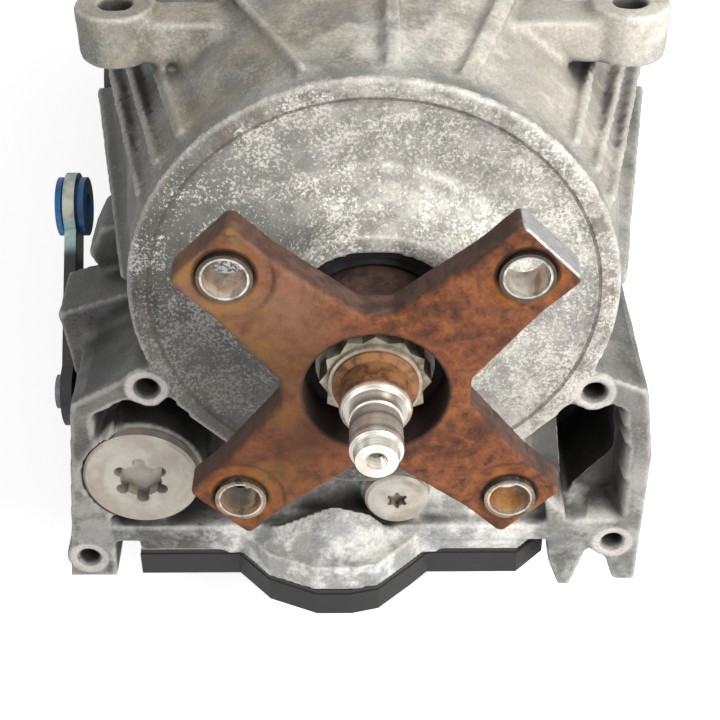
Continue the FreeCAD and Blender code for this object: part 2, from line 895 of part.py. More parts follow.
    bead = feature("case_bead", rim_bead())
    nose = feature("case_nose", case_nose())
    added = [ribs, lugs, bead, nose, selector_boss, connector_boss, ledge, ledge_step, *lumps]
    solid = joined("case_solid", shell, frame, rail, skirt, *added)
    cavity = turned(
        "case_cavity",
        [
            (0, mm.housing_depth - 1),
            (mm.pump_disc_radius + 0.05, mm.housing_depth - 1),
            (mm.pump_disc_radius + 0.05, mm.pump_depth + mm.pump_thickness),
            (mm.cavity_radius, mm.pump_depth + mm.pump_thickness),
            (mm.cavity_radius, mm.rear_set_depth + 8),
            (mm.ring_cavity_radius, mm.rear_set_depth + 8),
            (mm.ring_cavity_radius, mm.park_depth - 7),
            (mm.park_cavity_radius, mm.park_depth - 7),
            (mm.park_cavity_radius, mm.cavity_end_depth),
            (mm.bearing_outer_radius, mm.cavity_end_depth),
            (mm.bearing_outer_radius, mm.bearing_depth + mm.bearing_width),
            (mm.bearing_shoulder_radius, mm.bearing_depth + mm.bearing_width),
            (mm.bearing_shoulder_radius, rim + mm.collar_height - mm.seal_width - 2),
            (mm.seal_radius, rim + mm.collar_height - mm.seal_width - 2),
            (mm.seal_radius, rim + mm.collar_height + 1),
            (0, rim + mm.collar_height + 1),
        ],
    )
    disc_recess = ring(
        "disc_recess", mm.collar_radius + 12, mm.disc_radius, rim - mm.disc_step, mm.disc_step + 1,
    )
    hub_wall = ring(
        "hub_wall", mm.bearing_outer_radius + 4, mm.rim_radius, rim - mm.deep_pocket_depth - 4,
        mm.deep_pocket_depth + 4,
    )
    foot_trim = block(
        "foot_trim", -mm.frame_left_foot - 5, rim - mm.frame_length - 1, mm.foot_level - 10,
        mm.frame_left_foot * 2 + 10, mm.frame_length - 26, -mm.foot_level + mm.rail_level + 10,
    )
    solid = cut("case_trimmed", solid, left_pocket, right_pocket, middle_recess, foot_trim)
    web = plate(
        "right_pocket_web",
        [
            (mm.frame_right_foot - 29, mm.frame_floor + 6),
            (mm.frame_right_foot - mm.frame_wall, mm.frame_floor + 6),
            (mm.frame_right_foot - mm.frame_wall, mm.frame_floor + 34),
        ],
        rim - mm.deep_pocket_depth - 2,
        mm.deep_pocket_depth - 8,
    )
    raised = joined("case_raised", solid, hub_wall, *bosses, fill_boss, level_boss, web, hook)
    hollow = [cavity, disc_recess, chamber, sump_opening, fill_seat]
    holes = mount_holes + [fill_hole, level_hole, level_seat, selector_hole, connector_hole, pin_hole]
    publish("main_case", cut("main_case", raised, *hollow, *holes, *joint_holes, *pan_holes))


def chamber_front():
    return mm.park_depth - 14


def mount_places():
    return [
        (mm.mount_left_top_x, mm.mount_left_top_z),
        (mm.mount_right_top_x, mm.mount_right_top_z),
        (mm.mount_left_low_x, mm.mount_left_low_z),
        (mm.mount_right_low_x, mm.mount_right_low_z),
    ]


def side_lug(side):
    """An upright round lug beside the tail, with a web to the case and a hole."""
    floor = float(mm.lug_top - mm.lug_length)
    centre = point(side * float(mm.lug_side), mm.lug_depth, floor)
    up = FreeCAD.Vector(0, 0, 1)
    lug = Part.makeCylinder(float(mm.lug_radius), float(mm.lug_length), centre, up)
    inner = float(mm.lug_web_inner)
    reach = float(mm.lug_side) - inner
    web = Part.makeBox(
        reach,
        float(mm.lug_web_width),
        float(mm.lug_length - mm.lug_web_drop),
        point(inner if side > 0 else -inner - reach, mm.lug_depth + mm.lug_web_width / 2, floor),
    )
    hole = Part.makeCylinder(float(mm.lug_hole), float(mm.lug_length - mm.lug_hole_floor),
                             centre + up * float(mm.lug_hole_floor), up)
    return lug.fuse(web).cut(hole)


def tail_ribs():
    """Ribs that run along the tail and draw together towards the rim, by angle from the top."""
    width = float(mm.rib_width)
    height = float(mm.rib_height)
    near = float(mm.rim_depth - mm.rim_edge)
    places = [
        (4, 3, width + 1, height, 120),
        (20, 35, width + 3, height + 1.5, 90),
        (49, 57, width - 1, height, 105),
        (57.5, 70, width - 1, height, 110),
        (66, 80, width - 1, height, 120),
        (88, 88, width, height, 120),
        (-15, -37, width - 1, height, 80),
        (-46, -57, width + 1, height, 95),
        (-55, -66, width - 1, height, 105),
        (-64, -74, width - 1, height, 115),
        (-86, -88, width, height, 120),
    ]
    return [tail_rib(near, *place_and_size) for place_and_size in places]


def rim_bead():
    """A low round bead beside the rim, at the upper right."""
    depth = mm.rim_depth - mm.rim_edge - 5
    bead = Part.makeTorus(
        float(mm.rim_radius) - 0.2, 2.8, point(0, depth, 0), FreeCAD.Vector(0, -1, 0), 0, 360, 50,
    )
    bead.rotate(point(0, depth, 0), FreeCAD.Vector(0, -1, 0), 22)
    return bead


def case_nose():
    """The sloping bulge under the rim, above the pan's nose."""
    sections = []
    stations = (
        (mm.rail_level + mm.rail_thickness * 0.4, 0.5, 0),
        (mm.frame_floor + 18, 12, 4),
    )
    for level, inset, lift in stations:
        corners = [point(x, depth - lift, level) for x, depth in nose_outline(inset)]
        first_x = nose_outline(inset)[0][0]
        last_x = nose_outline(inset)[-1][0]
        corners.append(point(last_x, mm.rim_depth - 20, level))
        corners.append(point(first_x, mm.rim_depth - 20, level))
        sections.append(Part.makePolygon(corners + corners[:1]))
    return Part.makeLoft(sections, True, True)


def tail_rib(near, rear_angle, front_angle, width, height, length):
    """A ruled rib between a section at the rim and one further forward."""
    sections = []
    ends = ((rear_angle, near, mm.rib_rear_height), (front_angle, near - length, height))
    for angle, depth, raised in ends:
        surface = case_outer(depth)
        direction = math.radians(90 - angle)
        outward = FreeCAD.Vector(math.cos(direction), 0, math.sin(direction))
        across = FreeCAD.Vector(-math.sin(direction), 0, math.cos(direction))
        corners = []
        for low, side in ((True, -1), (True, 1), (False, 0.6), (False, -0.6)):
            reach = surface - 8 if low else surface + raised
            corners.append(outward * reach + across * (side * width / 2) + FreeCAD.Vector(0, -depth, 0))
        sections.append(Part.makePolygon(corners + corners[:1]))
    return Part.makeLoft(sections, True, True)


# Oil pan and what it holds


def pan_outline(inset, has_nose=True):
    """The pan's outline as (x, depth) points, set in from the rim."""
    half = mm.pan_half_width - inset
    left = mm.pan_rear_left - inset
    right = mm.pan_rear_right - inset
    rear = mm.pan_rear_depth - inset
    nose = nose_outline(inset) if has_nose else []
    front = mm.pan_front_depth + inset
    return [
        (-half, front),
        (half, front),
        (half, mm.pan_taper_depth),
        (right, mm.pan_taper_depth + 50),
        (right, rear - 10),
        (right - 10, rear),
        *nose,
        (-left, rear),
        (-left, mm.pan_taper_depth + 50),
        (-half, mm.pan_taper_depth),
    ]


def nose_outline(inset):
    """The bulge in the middle of the pan's rear edge."""
    rear = mm.pan_rear_depth - inset
    tip = rear + mm.pan_nose
    right = mm.pan_nose_right - inset * 0.3
    left = mm.pan_nose_left - inset * 0.3
    return [
        (right, rear),
        (right - 6, rear + mm.pan_nose * 0.33),
        (right - 17, rear + mm.pan_nose * 0.88),
        (right - 26, tip),
        (-(left - 27), tip),
        (-(left - 11), rear + mm.pan_nose * 0.64),
        (-left, rear),
    ]


def sump_window():
    """The opening through the case floor above the pan."""
    half = mm.valve_body_half_width + 4
    front = mm.pan_front_depth + mm.pan_rim + 4
    rear = mm.sump_rear_depth - 20
    return [(-half, front), (half, front), (half, rear), (-half, rear)]


def pan_bolt_places():
    """(x, depth) of each pan screw, along the rim."""
    side = mm.pan_half_width - mm.pan_rim / 2
    front = mm.pan_front_depth + mm.pan_rim / 2
    rear = mm.pan_taper_depth - 4
    spacing = (rear - front) / 4
    places = []
    for index in range(5):
        for sign in (-1, 1):
            places.append((side * sign, front + spacing * index))
    places.append((side * 0.34, front))
    places.append((side * -0.34, front))
    return places


def oil_pan():
    top = mm.rail_level - mm.gasket_thickness
    shallow = slab("pan_shallow_part", pan_outline(0), top - mm.pan_shallow, mm.pan_shallow)
    inner = mm.pan_rim + mm.pan_wall
    deep_outline = [
        (-(mm.pan_half_width - mm.pan_rim), mm.pan_front_depth + mm.pan_rim),
        (mm.pan_half_width - mm.pan_rim, mm.pan_front_depth + mm.pan_rim),
        (mm.pan_half_width - mm.pan_rim, mm.sump_rear_depth),
        (-(mm.pan_half_width - mm.pan_rim), mm.sump_rear_depth),
    ]
    deep = slab("pan_deep_part", deep_outline, top - mm.pan_sump, mm.pan_sump)
    hollow_outline = [
        (-(mm.pan_half_width - inner), mm.pan_front_depth + inner),
        (mm.pan_half_width - inner, mm.pan_front_depth + inner),
        (mm.pan_half_width - inner, mm.sump_rear_depth - mm.pan_wall),
        (-(mm.pan_half_width - inner), mm.sump_rear_depth - mm.pan_wall),
    ]
    deep_hollow = slab("pan_deep_hollow", hollow_outline, top - mm.pan_sump + mm.pan_wall, mm.pan_sump)
    shallow_hollow = slab("pan_shallow_hollow", pan_outline(inner, False),
                          top - mm.pan_shallow + mm.pan_wall, mm.pan_shallow)
    drain_hole = post("pan_drain_hole", 8.05, 0, mm.pan_front_depth + 60, top - mm.pan_sump - 1, 10)
    holes = []
    for index, (x, depth) in enumerate(pan_bolt_places()):
        holes.append(post(f"pan_hole{index}", mm.pan_bolt + 0.3, x, depth, top - mm.pan_shallow - 1,
                          mm.pan_shallow + 2))
        holes.append(
            post(f"pan_seat{index}", mm.pan_bolt_head + 0.6, x, depth, top - mm.pan_shallow - 1,
                 mm.pan_shallow - 3)
        )
    whole = joined("oil_pan", shallow, deep)
    publish("oil_pan", cut("oil_pan", whole, deep_hollow, shallow_hollow, drain_hole, *holes))


def pan_gasket():
    level = mm.rail_level - mm.gasket_thickness
    whole = slab("gasket_outer", pan_outline(0.4), level, mm.gasket_thickness)
    opening = slab("gasket_opening", pan_outline(mm.pan_rim - 1, False), level - 1, mm.gasket_thickness + 2)
    holes = []
    for index, (x, depth) in enumerate(pan_bolt_places()):
        holes.append(post(f"gasket_hole{index}", mm.pan_bolt + 0.3, x, depth, level - 1,
                          mm.gasket_thickness + 2))
    publish("pan_gasket", cut("pan_gasket", whole, opening, *holes))


def pan_bolts():
    screws = []
    up = FreeCAD.Vector(0, 0, 1)
    seat = mm.rail_level - mm.gasket_thickness - 4
    for x, depth in pan_bolt_places():
        head = Part.makeCylinder(float(mm.pan_bolt_head), float(mm.pan_bolt_head_height),
                                 point(x, depth, seat - mm.pan_bolt_head_height), up)
        shank = Part.makeCylinder(float(mm.pan_bolt), float(mm.pan_bolt_length) - 2,
                                  point(x, depth, seat), up)
        socket = Part.makeCylinder(2.6, 3, point(x, depth, seat - mm.pan_bolt_head_height), up)
        screws.append(head.fuse(shank).cut(socket))
    publish("pan_bolts", feature("pan_bolts", Part.makeCompound(screws)))


def drain_plug():
    bottom = mm.rail_level - mm.gasket_thickness - mm.pan_sump
    shank = post("drain_shank", 8, 0, mm.pan_front_depth + 60, bottom + 0.6, 10)
    cap = post("drain_cap", mm.drain_plug_radius, 0, mm.pan_front_depth + 60, bottom + mm.pan_wall, 3)
    socket = post("drain_socket", 4, 0, mm.pan_front_depth + 60, bottom, 6)
    publish("drain_plug", cut("drain_plug", joined("drain_plug", shank, cap), socket))


def valve_body():
    top = mm.rail_level - 1
    half = mm.valve_body_half_width
    front = mm.pan_front_depth + mm.pan_rim + 8
    base = block("valve_block", -half, front, top - mm.valve_body_height, half * 2, mm.valve_body_length,
                 mm.valve_body_height)
    hangers = []
    for index, (x, share) in enumerate(((-0.86, 0.1), (0.86, 0.1), (-0.86, 0.9), (0.86, 0.9))):
        hangers.append(
            post(f"valve_hanger{index}", 6, half * x, front + mm.valve_body_length * share, top - 2,
                 mm.sump_height + 2)
        )
    bores = []
    for index in range(4):
        depth = front + mm.valve_body_length * (0.2 + 0.2 * index)
        bores.append(bar(f"valve_bore{index}", 6, -half - 1, depth, top - mm.valve_body_height / 2,
                         half * 1.4))
    publish("valve_body", cut("valve_body", joined("valve_body", base, *hangers), *bores))


def solenoids():
    """Control solenoids in a row on the right side of the valve block."""
    top = mm.rail_level - 1
    front = float(mm.pan_front_depth + mm.pan_rim + 8)
    units = []
    count = round(float(mm.solenoid_count))
    for index in range(count):
        depth = front + float(mm.valve_body_length) * (index + 0.5) / count
        level = float(top - mm.valve_body_height) - float(mm.solenoid_radius)
        can = Part.makeCylinder(float(mm.solenoid_radius) - 0.0, float(mm.solenoid_length),
                                point(20, depth, level), FreeCAD.Vector(1, 0, 0))
        nose = Part.makeCylinder(5.5, 12, point(8.5, depth, level), FreeCAD.Vector(1, 0, 0))
        units.append(can.fuse(nose))
    publish("solenoids", feature("solenoids", Part.makeCompound(units)))


def oil_filter():
    top = mm.rail_level - 1 - mm.valve_body_height
    front = mm.pan_front_depth + mm.pan_rim + 16
    box = block("filter_box", -mm.filter_half_width, front, top - mm.filter_height, mm.filter_half_width + 4,
                mm.filter_length, mm.filter_height)
    neck = post("filter_neck", 9, -30, front + 20, top - mm.filter_height - 6, 8)
    inlet = post("filter_inlet", 6, -30, front + 20, top - mm.filter_height - 7, 6)
    publish("oil_filter", cut("oil_filter", joined("oil_filter", box, neck), inlet))


def electrical_connector():
    """Round plug housing in the left wall."""
    body = bar("connector_body", mm.connector_radius, -mm.pan_half_width - 16, mm.connector_depth,
               mm.connector_level, mm.connector_length + 16)
    collar = bar("connector_collar", mm.connector_radius + 3.5, -mm.pan_half_width - 8, mm.connector_depth,
                 mm.connector_level, 6)
    socket = bar("connector_socket", mm.connector_radius - 3, -mm.pan_half_width - 17, mm.connector_depth,
                 mm.connector_level, 16)
    pins = []
    for index in range(6):
        x, z = around(mm.connector_radius * 0.45, index * 60)
        pins.append(bar(f"connector_pin{index}", 0.9, -mm.pan_half_width - 12, mm.connector_depth + x,
                        mm.connector_level + z, 13))
    shell = cut("electrical_connector", joined("connector_shell", body, collar), socket)
    publish("electrical_connector", joined("electrical_connector", shell, *pins))


# Plugs


def lobed_recess(radius, centre, depth, length):
    """A six-lobe recess."""
    shapes = [round_shape(radius * 0.72, centre, depth, length)]
    for index in range(6):
        angle = math.radians(90 + index * 60)
        x = centre[0] + radius * 0.78 * math.cos(angle)
        z = centre[1] + radius * 0.78 * math.sin(angle)
        shapes.append(round_shape(radius * 0.22, (x, z), depth, length))
    return joined_shape(shapes)


def threaded_plug(label, radius, thread_radius, x, z, head_front, recess_radius, recess_depth):
    """A plug with a six-lobe recess, a chamfered head and a thread into the case."""
    rear = head_front + mm.plug_head
    body = turned(
        label + "_turned",
        [
            (0, head_front - mm.plug_thread_length),
            (thread_radius - 1, head_front - mm.plug_thread_length),
            (thread_radius, head_front - mm.plug_thread_length + 1.5),
            (thread_radius, head_front),
            (radius, head_front),
            (radius, rear - 1),
            (radius - 1, rear),
            (0, rear),
        ],
    )
    place(body, x, 0, z)
    start = float(rear) - float(recess_depth)
    recess = feature(label + "_recess", lobed_recess(float(recess_radius), (float(x), float(z)), start,
                                                     float(recess_depth) + 1))
    publish(label, cut(label, body, recess))


# Pump, converter and input


def pump_centre():
    return (0.0, float(mm.pump_module) * float(mm.pump_ring_teeth - mm.pump_drive_teeth) / 2)


def pump_housing():
    disc = turned(
        "pump_disc",
        [
            (mm.converter_hub_radius + mm.running_gap, mm.pump_depth - 8),
            (mm.converter_hub_radius + 14, mm.pump_depth - 8),
            (mm.converter_hub_radius + 16, mm.pump_depth),
            (mm.pump_disc_radius, mm.pump_depth),
            (mm.pump_disc_radius, mm.pump_depth + mm.pump_thickness),
            (mm.converter_hub_radius + mm.running_gap, mm.pump_depth + mm.pump_thickness),
        ],
    )
    outer = mm.pump_module * mm.pump_ring_teeth / 2 + mm.pump_ring_wall + mm.running_gap
    start = mm.pump_depth + mm.pump_thickness - mm.pump_gear_width - 0.3
    offset = mm.pump_module * (mm.pump_ring_teeth - mm.pump_drive_teeth) / 2
    pocket = rod("pump_pocket", outer, 0, start, offset, mm.pump_gear_width + 1)
    publish("pump_housing", cut("pump_housing", disc, pocket))


def pump_gears():
    start = float(mm.pump_depth + mm.pump_thickness - mm.pump_gear_width) - 0.15
    drive = gear_shape(mm.pump_drive_teeth, mm.pump_module, 90, (0, 0), start, mm.pump_gear_width - 0.3,
                       mm.converter_hub_radius)
    publish("pump_drive_gear", feature("pump_drive_gear", drive))
    centre = pump_centre()
    drive_phase = 0.0
    tooth = 270 + (0.5 - drive_phase) * 360 / float(mm.pump_ring_teeth)
    outer = mm.pump_module * mm.pump_ring_teeth / 2 + mm.pump_ring_wall
    ring_shape = ring_gear_shape(mm.pump_ring_teeth, mm.pump_module, tooth, centre, start,
                                 mm.pump_gear_width - 0.3, outer)
    publish("pump_ring_gear", feature("pump_ring_gear", ring_shape))


def pump_cover():
    """Pump cover with the stator support tube in front and the fixed front sun gear behind."""
    front = mm.pump_depth + mm.pump_thickness
    bore = mm.input_shaft_radius + 0.1
    tube_rear = mm.front_set_depth + mm.gear_width + mm.side_gap * 2
    body = turned(
        "cover_turned",
        [
            (bore, mm.stator_depth - 18),
            (mm.support_radius, mm.stator_depth - 18),
            (mm.support_radius, front),
            (mm.pump_cover_radius, front),
            (mm.pump_cover_radius, front + mm.pump_cover_thickness),
            (mm.support_radius + 8, front + mm.pump_cover_thickness),
            (mm.support_radius + 4, mm.front_set_depth - 2),
            (mm.support_radius + 4, tube_rear),
            (bore, tube_rear),
        ],
    )
    sun = gear_shape(mm.sun_teeth, mm.gear_module, 0, (0, 0), mm.front_set_depth, mm.gear_width,
                     mm.support_radius + 2)
    publish("pump_cover", joined("pump_cover", body, feature("front_sun_teeth", sun)))


def converter_cover():
    """Torque converter shell: front cover, impeller shell and pump hub, closed by welding."""
    front = mm.cover_front_depth
    rear = front + mm.converter_depth
    outer = mm.converter_radius
    wall = mm.converter_wall
    hub = mm.converter_hub_radius
    body = turned(
        "converter_turned",
        [
            (0, front),
            (14, front),
            (14, front + 8),
            (outer - 22, front + 10),
            (outer, front + 22),
            (outer, front + 58),
            (outer - 10, front + 90),
            (outer - 42, rear - 4),
            (hub + 16, rear),
            (hub, rear + 4),
            (hub, mm.pump_depth + mm.pump_thickness - 1),
            (hub - mm.converter_hub_wall, mm.pump_depth + mm.pump_thickness - 1),
            (hub - mm.converter_hub_wall, rear),
            (hub + 16, rear - wall),
            (outer - 44, rear - wall - 4),
            (outer - 14, front + 87),
            (outer - wall, front + 57),
            (outer - wall, front + 24),
            (outer - 24, front + 10 + wall),
            (0, front + 10 + wall),
        ],
    )
    lugs = []
    holes = []
    step = 360 / float(mm.plate_bolt_count)
    for index in range(round(float(mm.plate_bolt_count))):
        x, z = around(mm.plate_bolt_circle, 30 + index * step)
        lugs.append(rod(f"plate_lug{index}", mm.plate_bolt_hole + 6, x, front + 1, z, 12))
        holes.append(rod(f"plate_hole{index}", mm.plate_bolt_hole, x, front, z, 9.5))
    publish("converter_cover", cut("converter_cover", joined("converter_cover", body, *lugs), *holes))


def turbine():
    start = mm.turbine_depth
    reach = mm.converter_radius - 14
    body = turned(
        "turbine_turned",
        [
            (mm.input_shaft_radius, start - 12),
            (mm.input_shaft_radius + 8, start - 12),
            (mm.input_shaft_radius + 8, start),
            (reach - 12, start - 4),
            (reach, start + 6),
            (reach, start + 14),
            (reach - 3, start + 14),
            (reach - 3, start + 7),
            (reach - 14, start),
            (mm.input_shaft_radius + 8, start + 4),
            (mm.input_shaft_radius + 8, start + 12),
            (mm.input_shaft_radius, start + 12),
        ],
    )
    vanes = []
    inner = float(mm.input_shaft_radius) + 34
    outer = float(reach) - 3
    near = float(start) + 1
    for index in range(24):
        outline = [(inner, near), (outer, near - 1), (outer, near + 12), (inner + 24, near + 24)]
        vanes.append(radial_slab(outline, 1.6, index * 15))
    publish("turbine", joined("turbine", body, feature("turbine_vanes", joined_shape(vanes))))


def converter_stator():
    """Bladed wheel on the fixed support tube."""
    start = float(mm.stator_depth)
    hub_outer = float(mm.support_radius) + 12
    tip = hub_outer + 26
    hub = ring("stator_hub", mm.support_radius + mm.running_gap, mm.support_radius + 12, mm.stator_depth, 16)
    rim = ring("stator_rim", mm.support_radius + 37, mm.support_radius + 40, mm.stator_depth, 16)
    blades = []
    for index in range(12):
        blade = Part.makeBox(tip - hub_outer + 1, 15, 2.4, FreeCAD.Vector(hub_outer - 0.5, -7.5, -1.2))
        blade.rotate(FreeCAD.Vector(), FreeCAD.Vector(1, 0, 0), 28)
        blade.translate(FreeCAD.Vector(0, -start - 8, 0))
        blade.rotate(FreeCAD.Vector(), FreeCAD.Vector(0, -1, 0), index * 30)
        blades.append(blade)
    wheel = joined("stator_wheel", hub, feature("stator_blades", joined_shape(blades)), rim)
    publish("converter_stator", wheel)


def input_shaft():
    """Input shaft with the disc and drum that carry the front ring gear and clutch E."""
    disc = mm.input_disc_depth
    pitch = mm.gear_module * mm.ring_teeth / 2
    seat = pitch + mm.ring_wall
    drum = mm.pack_hub_radius - 7
    body = turned(
        "input_turned",
        [
            (0, mm.turbine_depth - 14),
            (mm.input_shaft_radius - 1, mm.turbine_depth - 14),
            (mm.input_shaft_radius, mm.turbine_depth - 12),
            (mm.input_shaft_radius, disc),
            (seat, disc),
            (seat, mm.front_set_depth - 1),
            (seat + mm.drum_wall, mm.front_set_depth - 1),
            (seat + mm.drum_wall, disc + mm.web),
            (drum, disc + mm.web),
            (drum, mm.clutch_e_depth + mm.pack_length + 5),
            (drum - mm.drum_wall, mm.clutch_e_depth + mm.pack_length + 5),
            (drum - mm.drum_wall, disc + mm.web),
            (0, disc + mm.web),
        ],
    )
    publish("input_shaft", body)


def front_ring_gear():
    outer = mm.gear_module * mm.ring_teeth / 2 + mm.ring_wall
    shape = ring_gear_shape(mm.ring_teeth, mm.gear_module, 0, (0, 0), mm.front_set_depth,
                            mm.gear_width + 1, outer)
    publish("front_ring_gear", feature("front_ring_gear", shape))


# Clutch and brake packs


def pack_shape(inner, outer, depth, first, step_count):
    """Every second place of a plate pack, from a first place on."""
    pitch = float(mm.pack_length) / (2 * float(mm.plate_count))
    shapes = []
    for index in range(first, step_count, 2):
        start = float(depth) + index * pitch
        disc = round_shape(outer, (0, 0), start, pitch - float(mm.plate_gap))
        shapes.append(disc.cut(round_shape(inner, (0, 0), start - 1, pitch + 2)))
    return shapes


def plate_pack(label, depth, inner, outer, kinds):
    """Steel plates reach out to the outer member, friction plates reach in to the hub."""
    places = 2 * round(float(mm.plate_count))
    shapes = []
    if "steel" in kinds:
        shapes += pack_shape(float(inner) + float(mm.fringe_gap) * 3, outer, depth, 0, places)
    if "friction" in kinds:
        shapes += pack_shape(inner, float(outer) - float(mm.fringe_gap) * 3, depth, 1, places)
    publish(label, feature(label, Part.makeCompound(shapes)))


def plate_packs():
    drum_inner = mm.outer_drum_radius - mm.drum_wall
    hub = mm.pack_hub_radius
    inner_drum = mm.pack_hub_radius - 7 - mm.drum_wall
    plate_pack("clutch_e_steels", mm.clutch_e_depth + 1, mm.middle_shaft_radius + 20, inner_drum, ["steel"])
    plate_pack("clutch_e_frictions", mm.clutch_e_depth + 1, mm.middle_shaft_radius + 20, inner_drum,
               ["friction"])
    plate_pack("clutch_a_plates", mm.clutch_a_depth + 1, hub, drum_inner, ["steel", "friction"])
    plate_pack("clutch_b_steels", mm.clutch_b_depth + 1, hub, drum_inner, ["steel"])
    plate_pack("clutch_b_frictions", mm.clutch_b_depth + 1, hub, drum_inner, ["friction"])
    plate_pack("brake_c_steels", mm.brake_c_depth, mm.outer_drum_radius + 2, mm.cavity_radius, ["steel"])
    plate_pack("brake_c_frictions", mm.brake_c_depth, mm.outer_drum_radius + 2, mm.cavity_radius,
               ["friction"])
    plate_pack("brake_d_plates", mm.brake_d_depth, mm.pack_hub_radius + 13, mm.cavity_radius,
               ["steel", "friction"])


# Front planetary set


def planet_centre():
    return mm.gear_module * (mm.sun_teeth + mm.planet_teeth) / 2


FRONT_ANGLES = (90, 210, 330)


def front_planets():
    for number, angle in enumerate(FRONT_ANGLES, 1):
        centre = polar(planet_centre(), angle)
        tooth = meshing_tooth(angle + 180, float(mm.planet_teeth), float(mm.sun_teeth), 0)
        shape = gear_shape(mm.planet_teeth, mm.gear_module, tooth, centre, mm.front_set_depth, mm.gear_width,
                           mm.planet_pin + mm.running_gap)
        label = f"front_planet_{number}"
        publish(label, feature(label, shape))


def carrier_pin(name, radius, angle, depth, length):
    x, z = around(radius, angle)
    return rod(name, mm.planet_pin, x, depth, z, length)


def front_carrier():
    """Front planet carrier with the outer drum of clutches A and B."""
    front = mm.front_set_depth - mm.side_gap - mm.carrier_plate
    rear = mm.front_set_depth + mm.gear_width + mm.side_gap
    drum = mm.outer_drum_radius
    inner_edge = mm.support_radius + 6
    cage = turned(
        "carrier_drum",
        [
            (inner_edge, front),
            (drum, front),
            (drum, mm.clutch_b_depth + mm.pack_length + 4),
            (drum - mm.drum_wall, mm.clutch_b_depth + mm.pack_length + 4),
            (drum - mm.drum_wall, front + mm.carrier_plate),
            (inner_edge, front + mm.carrier_plate),
        ],
    )
    back = ring("carrier_back", inner_edge, planet_centre() + 9, rear, mm.web)
    parts = [back]
    for number, angle in enumerate(FRONT_ANGLES):
        length = rear - front + mm.web
        parts.append(carrier_pin(f"front_pin{number}", planet_centre(), angle, front, length))
        x, z = around(planet_centre(), angle + 60)
        parts.append(rod(f"front_column{number}", mm.column_radius, x, front + 1, z, rear - front))
    publish("front_carrier", joined("front_carrier", cage, *parts))


# Rear compound planetary set


LONG_ANGLES = (90, 210, 330)


def short_centre():
    return mm.gear_module * (mm.small_sun_teeth + mm.planet_teeth) / 2


def short_offset():
    """The angle at the shaft line between a long planet and the short planet beside it."""
    far = float(planet_centre())
    near = float(short_centre())
    span = float(mm.gear_module * mm.planet_teeth)
    return math.degrees(math.acos((far * far + near * near - span * span) / (2 * far * near)))


def long_tooth(angle):
    return meshing_tooth(angle + 180, float(mm.planet_teeth), float(mm.sun_teeth), 0)


def long_planets():
    length = mm.short_set_depth - mm.rear_set_depth + mm.gear_width + 6
    for number, angle in enumerate(LONG_ANGLES, 1):
        centre = polar(planet_centre(), angle)
        shape = gear_shape(mm.planet_teeth, mm.gear_module, long_tooth(angle), centre, mm.rear_set_depth - 1,
                           length, mm.planet_pin + mm.running_gap)
        label = f"long_planet_{number}"
        publish(label, feature(label, shape))


def short_teeth():
    """(centre, first tooth) of each short planet, set by the long planet that it meshes with."""
    result = []
    for angle in LONG_ANGLES:
        own_angle = angle + short_offset()
        centre = polar(short_centre(), own_angle)
        far = polar(planet_centre(), angle)
        towards = math.degrees(math.atan2(far[1] - centre[1], far[0] - centre[0]))
        tooth = meshing_tooth(towards, float(mm.planet_teeth), float(mm.planet_teeth), long_tooth(angle))
        result.append((own_angle, centre, tooth))
    return result


def short_planets():
    for number, (own_angle, centre, tooth) in enumerate(short_teeth(), 1):
        shape = gear_shape(mm.planet_teeth, mm.gear_module, tooth, centre, mm.short_set_depth, mm.gear_width + 4,
                           mm.planet_pin + mm.running_gap)
        label = f"short_planet_{number}"
        publish(label, feature(label, shape))


def small_sun():
    """Small rear sun gear on its sleeve, with the hub of clutch A."""
    own_angle, centre, tooth = short_teeth()[0]
    sun_tooth = meshing_tooth(own_angle, float(mm.small_sun_teeth), float(mm.planet_teeth), tooth)
    teeth = gear_shape(mm.small_sun_teeth, mm.gear_module, sun_tooth, (0, 0), mm.short_set_depth,
                       mm.gear_width + 4, mm.small_sleeve_radius - 1)
    hub = mm.pack_hub_radius
    bore = mm.middle_shaft_radius + mm.running_gap
    web_rear = mm.clutch_b_depth - 3
    body = turned(
        "small_sun_turned",
        [
            (bore, web_rear - mm.web),
            (hub - mm.drum_wall, web_rear - mm.web),
            (hub - mm.drum_wall, mm.clutch_a_depth),
            (hub, mm.clutch_a_depth),
            (hub, web_rear),
            (mm.small_sleeve_radius, web_rear),
            (mm.small_sleeve_radius, mm.short_set_depth + mm.gear_width + 4),
            (bore, mm.short_set_depth + mm.gear_width + 4),
        ],
    )
    publish("small_sun_gear", joined("small_sun_gear", body, feature("small_sun_teeth_shape", teeth)))


def large_sun():
    """Large rear sun gear on its sleeve, with the hub of clutch B and the drum of brake C."""
    teeth = gear_shape(mm.sun_teeth, mm.gear_module, 0, (0, 0), mm.rear_set_depth, mm.gear_width + 2,
                       mm.large_sleeve_radius - 1)
    hub = mm.pack_hub_radius
    bore = mm.small_sleeve_radius + mm.running_gap
    web_front = mm.clutch_b_depth + mm.pack_length + 6
    drum = mm.outer_drum_radius + 2
    body = turned(
        "large_sun_turned",
        [
            (bore, web_front),
            (hub - mm.drum_wall, web_front),
            (hub - mm.drum_wall, mm.clutch_b_depth),
            (hub, mm.clutch_b_depth),
            (hub, web_front),
            (drum, web_front),
            (drum, mm.brake_c_depth + mm.pack_length + 1),
            (drum - mm.drum_wall, mm.brake_c_depth + mm.pack_length + 1),
            (drum - mm.drum_wall, web_front + mm.web),
            (mm.large_sleeve_radius, web_front + mm.web),
            (mm.large_sleeve_radius, mm.rear_set_depth + mm.gear_width + 2),
            (bore, mm.rear_set_depth + mm.gear_width + 2),
        ],
    )
    publish("large_sun_gear", joined("large_sun_gear", body, feature("large_sun_teeth_shape", teeth)))


